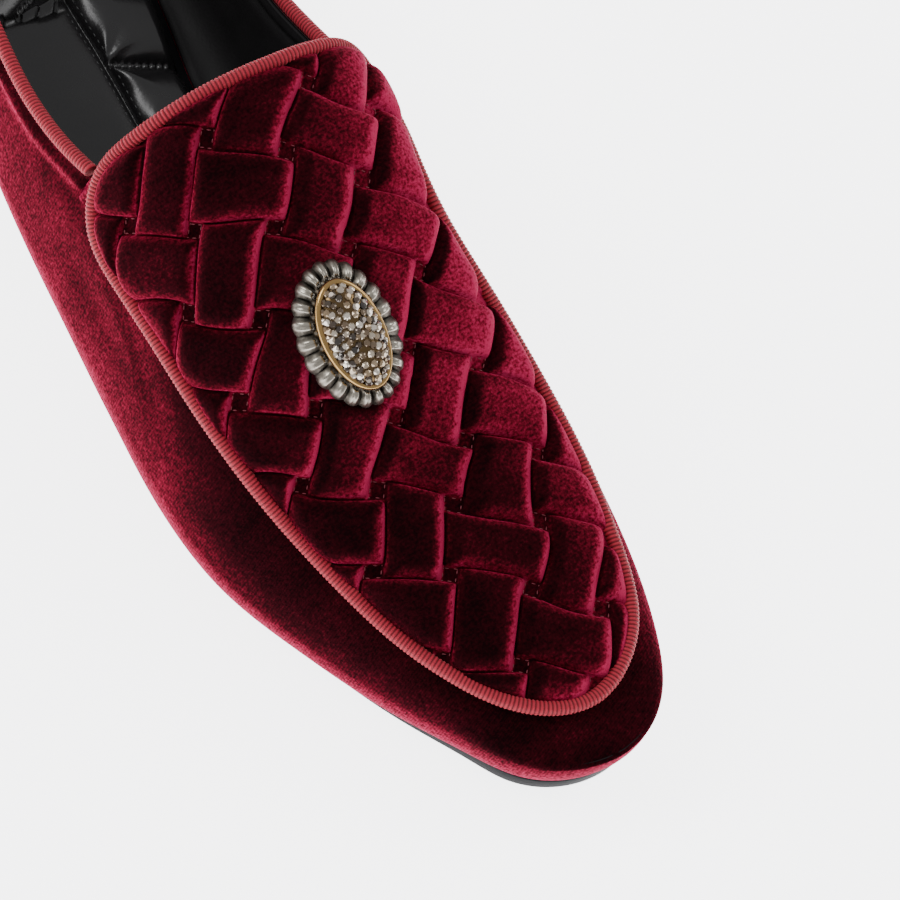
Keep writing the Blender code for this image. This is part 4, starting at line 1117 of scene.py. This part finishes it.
COLLET_SINK = 0.0002      # half of what the ring reaches below its seat
outside = (1 - DISH_SHARE) * wide + SEAM
inside = outside + COLLET_WIDTH
low, high = RIM_HEIGHT + SEAM, RIM_HEIGHT + SEAM + COLLET_HEIGHT
ring = []
for step in range(17):
    turn = 2 * math.pi * step / 16
    inset = (outside + inside) / 2 - math.cos(turn) * COLLET_WIDTH / 2
    height = (low + high) / 2 - COLLET_SINK + math.sin(turn) * (COLLET_HEIGHT / 2 + COLLET_SINK)
    ring.append((long - inset, wide - inset, height, 0, 0))
collet = oval_piece("brooch_brass_ring", ring, 96, closed=False)
dress(collet, old_brass, "aged_brass", "brooch_collet")

foot_long, foot_wide = long - inside + 0.0002, wide - inside + 0.0002


def dome_height(turn):
    """Height of the stones' bed at an angle up from its foot."""
    return high - 0.0008 + (DOME_HEIGHT - 0.0006) * math.sin(turn)


dome_rings = [(foot_long * 0.05, foot_wide * 0.05, low, 0, 0), (foot_long, foot_wide, low, 0, 0)]
for turn in np.linspace(0, math.pi / 2, 10):
    share_out = max(math.cos(turn), 0.02)
    dome_rings.append((foot_long * share_out, foot_wide * share_out, dome_height(turn), 0, 0))
dome = oval_piece("brooch_dome", dome_rings, 72)
old_bed = old_metal("old_bed", (0.10, 0.065, 0.030), (0.012, 0.009, 0.006))
dress(dome, old_bed, "aged_brass")

# Each stone: eight-sided girdle rings, crown facets and a table.
STONE = 0.00098
SIDES = 8
STONE_POINTS = 3 * SIDES + 1
FACETS = []
for j in range(SIDES):
    n = (j + 1) % SIDES
    FACETS += [(j, n, SIDES + n, SIDES + j), (SIDES + j, SIDES + n, 2 * SIDES + j),
               (SIDES + n, 2 * SIDES + n, 2 * SIDES + j), (2 * SIDES + j, 2 * SIDES + n, 3 * SIDES)]
gem_points, gem_faces, gem_tones = [], [], []
seeded = np.random.default_rng(7)


def facet_ring(centre, side, ahead, up, radius, height, turn):
    """Ring of points round a stone."""
    angle = np.linspace(0, 2 * math.pi, SIDES + 1)[:-1] + turn
    return centre + up * height + radius * (np.outer(np.cos(angle), side) + np.outer(np.sin(angle), ahead))


for turn_up in (0.22, 0.47, 0.70, 0.92, 1.13, 1.33, 1.50):
    share_out = math.cos(turn_up)
    around = np.linspace(0, 2 * math.pi, 721)
    track = np.stack([foot_wide * share_out * np.sin(around), foot_long * share_out * np.cos(around)], -1)
    length = walked(track)
    count = max(int(length[-1] / (1.98 * STONE)), 3)
    for angle in np.interp((np.arange(count) + 0.3 * turn_up) % count / count * length[-1], length, around):
        x, y = foot_wide * share_out * math.sin(angle), foot_long * share_out * math.cos(angle)
        z = dome_height(turn_up)
        nx, ny, nz = x / foot_wide ** 2, y / foot_long ** 2, math.sin(turn_up) / DOME_HEIGHT
        centre, lifted = (brooch_place(x + nx * lift, y + ny * lift, z + nz * lift)[0] for lift in (0, 1e-5))
        up_axis = unit(lifted - centre)
        side_axis = unit(np.cross(up_axis, (0.3, 1.0, 0.2)))
        ahead_axis = np.cross(up_axis, side_axis)
        spin, size = seeded.uniform(0, 1), STONE * seeded.uniform(0.90, 1.02)
        start = len(gem_points) * STONE_POINTS
        rings = [facet_ring(centre, side_axis, ahead_axis, up_axis, radius, height, turn)
                 for radius, height, turn in ((size * 0.98, -0.0003, spin), (size, 0.00022, spin),
                                              (size * 0.55, 0.00066, spin + 0.39))]
        gem_points.append(np.concatenate(rings + [(centre + up_axis * 0.00067)[None, :]]))
        gem_faces += [tuple(start + k for k in facet) for facet in FACETS]
        gem_tones.append(seeded.uniform(0, 1))
gems = mesh_piece("brooch_pave", np.concatenate(gem_points), gem_faces, smooth=False,
                  tone=np.repeat(gem_tones, STONE_POINTS))
outwards(gems)
material, tree, shader = new_material("cut_crystal", Metallic=0.7, IOR=1.9, Coat_Weight=0.6,
                                      Coat_Roughness=0.03)
stone_tone = node(tree, "Attribute", attribute_name="tone")
colour = ramp(tree, stone_tone.outputs["Fac"], ((0.0, (0.010, 0.008, 0.007)), (0.30, (0.060, 0.034, 0.014)),
                                                (0.60, (0.220, 0.150, 0.080)), (1.0, (0.500, 0.460, 0.400))))
put(tree, shader, Base_Color=colour, Roughness=0.06)
dress(gems, material, "cut_stones", "brooch_stones")

# Pale studio floor, soft light from the upper left, and the camera of the photograph.
bpy.ops.mesh.primitive_plane_add(size=6.0, location=(0, 0, 0))
floor = bpy.context.object
floor.name = "studio_floor"
material, tree, shader = new_material("studio_paper", Specular_IOR_Level=0.1)
fibre = noise(tree, object_place(tree), 300.0, 3.0)
put(tree, shader, Base_Color=ramp(tree, fibre, ((0.0, (0.90, 0.90, 0.915)), (1.0, (0.93, 0.93, 0.945)))),
    Roughness=0.9, Emission_Color=(1.0, 1.0, 1.02, 1), Emission_Strength=4.2)
floor.data.materials.append(material)

world = bpy.data.worlds.new("studio")
bpy.context.scene.world = world
world.use_nodes = True
put(world.node_tree, world.node_tree.nodes["Background"], Color=(1.0, 1.0, 1.01, 1), Strength=0.85)


def soft_light(name, place, aim, size, power):
    """Square softbox that faces a point."""
    data = bpy.data.lights.new(name, "AREA")
    data.size = size
    data.energy = power
    lamp = bpy.data.objects.new(name, data)
    bpy.context.scene.collection.objects.link(lamp)
    lamp.location = place
    lamp.rotation_euler = (Vector(aim) - Vector(place)).to_track_quat("-Z", "Y").to_euler()


soft_light("key_light", (-0.9, 0.5, 1.1), (0, -0.03, 0.03), 0.7, 14.0)
soft_light("rim_light", (0.9, -0.2, 0.8), (0, -0.03, 0.03), 0.6, 5.0)

VIEW_TURN, VIEW_RISE, VIEW_ROLL = (math.radians(value) for value in (-50.4, 59.1, 21.7))
VIEW_DISTANCE = 0.912
FOCAL_PIXELS, PICTURE_PIXELS, SENSOR = 3992.4, 900.0, 36.0
back = Vector((math.sin(VIEW_TURN) * math.cos(VIEW_RISE), -math.cos(VIEW_TURN) * math.cos(VIEW_RISE),
               math.sin(VIEW_RISE)))
right = Vector((math.cos(VIEW_TURN), math.sin(VIEW_TURN), 0))
up = back.cross(right)
rolled_right = right * math.cos(VIEW_ROLL) + up * math.sin(VIEW_ROLL)
rolled_up = up * math.cos(VIEW_ROLL) - right * math.sin(VIEW_ROLL)
camera_data = bpy.data.cameras.new("camera")
camera = bpy.data.objects.new("camera", camera_data)
bpy.context.scene.collection.objects.link(camera)
place = Vector((LAST_SHIFT, -0.060, 0.040)) + back * VIEW_DISTANCE
turned = Matrix((rolled_right, rolled_up, back)).transposed().to_4x4()
camera.matrix_world = Matrix.Translation(place) @ turned
camera_data.sensor_width = SENSOR
camera_data.lens = FOCAL_PIXELS * SENSOR / PICTURE_PIXELS
camera_data.shift_x = 56.1 / PICTURE_PIXELS
camera_data.shift_y = -9.0 / PICTURE_PIXELS
camera_data.clip_start = 0.01
bpy.context.scene.camera = camera
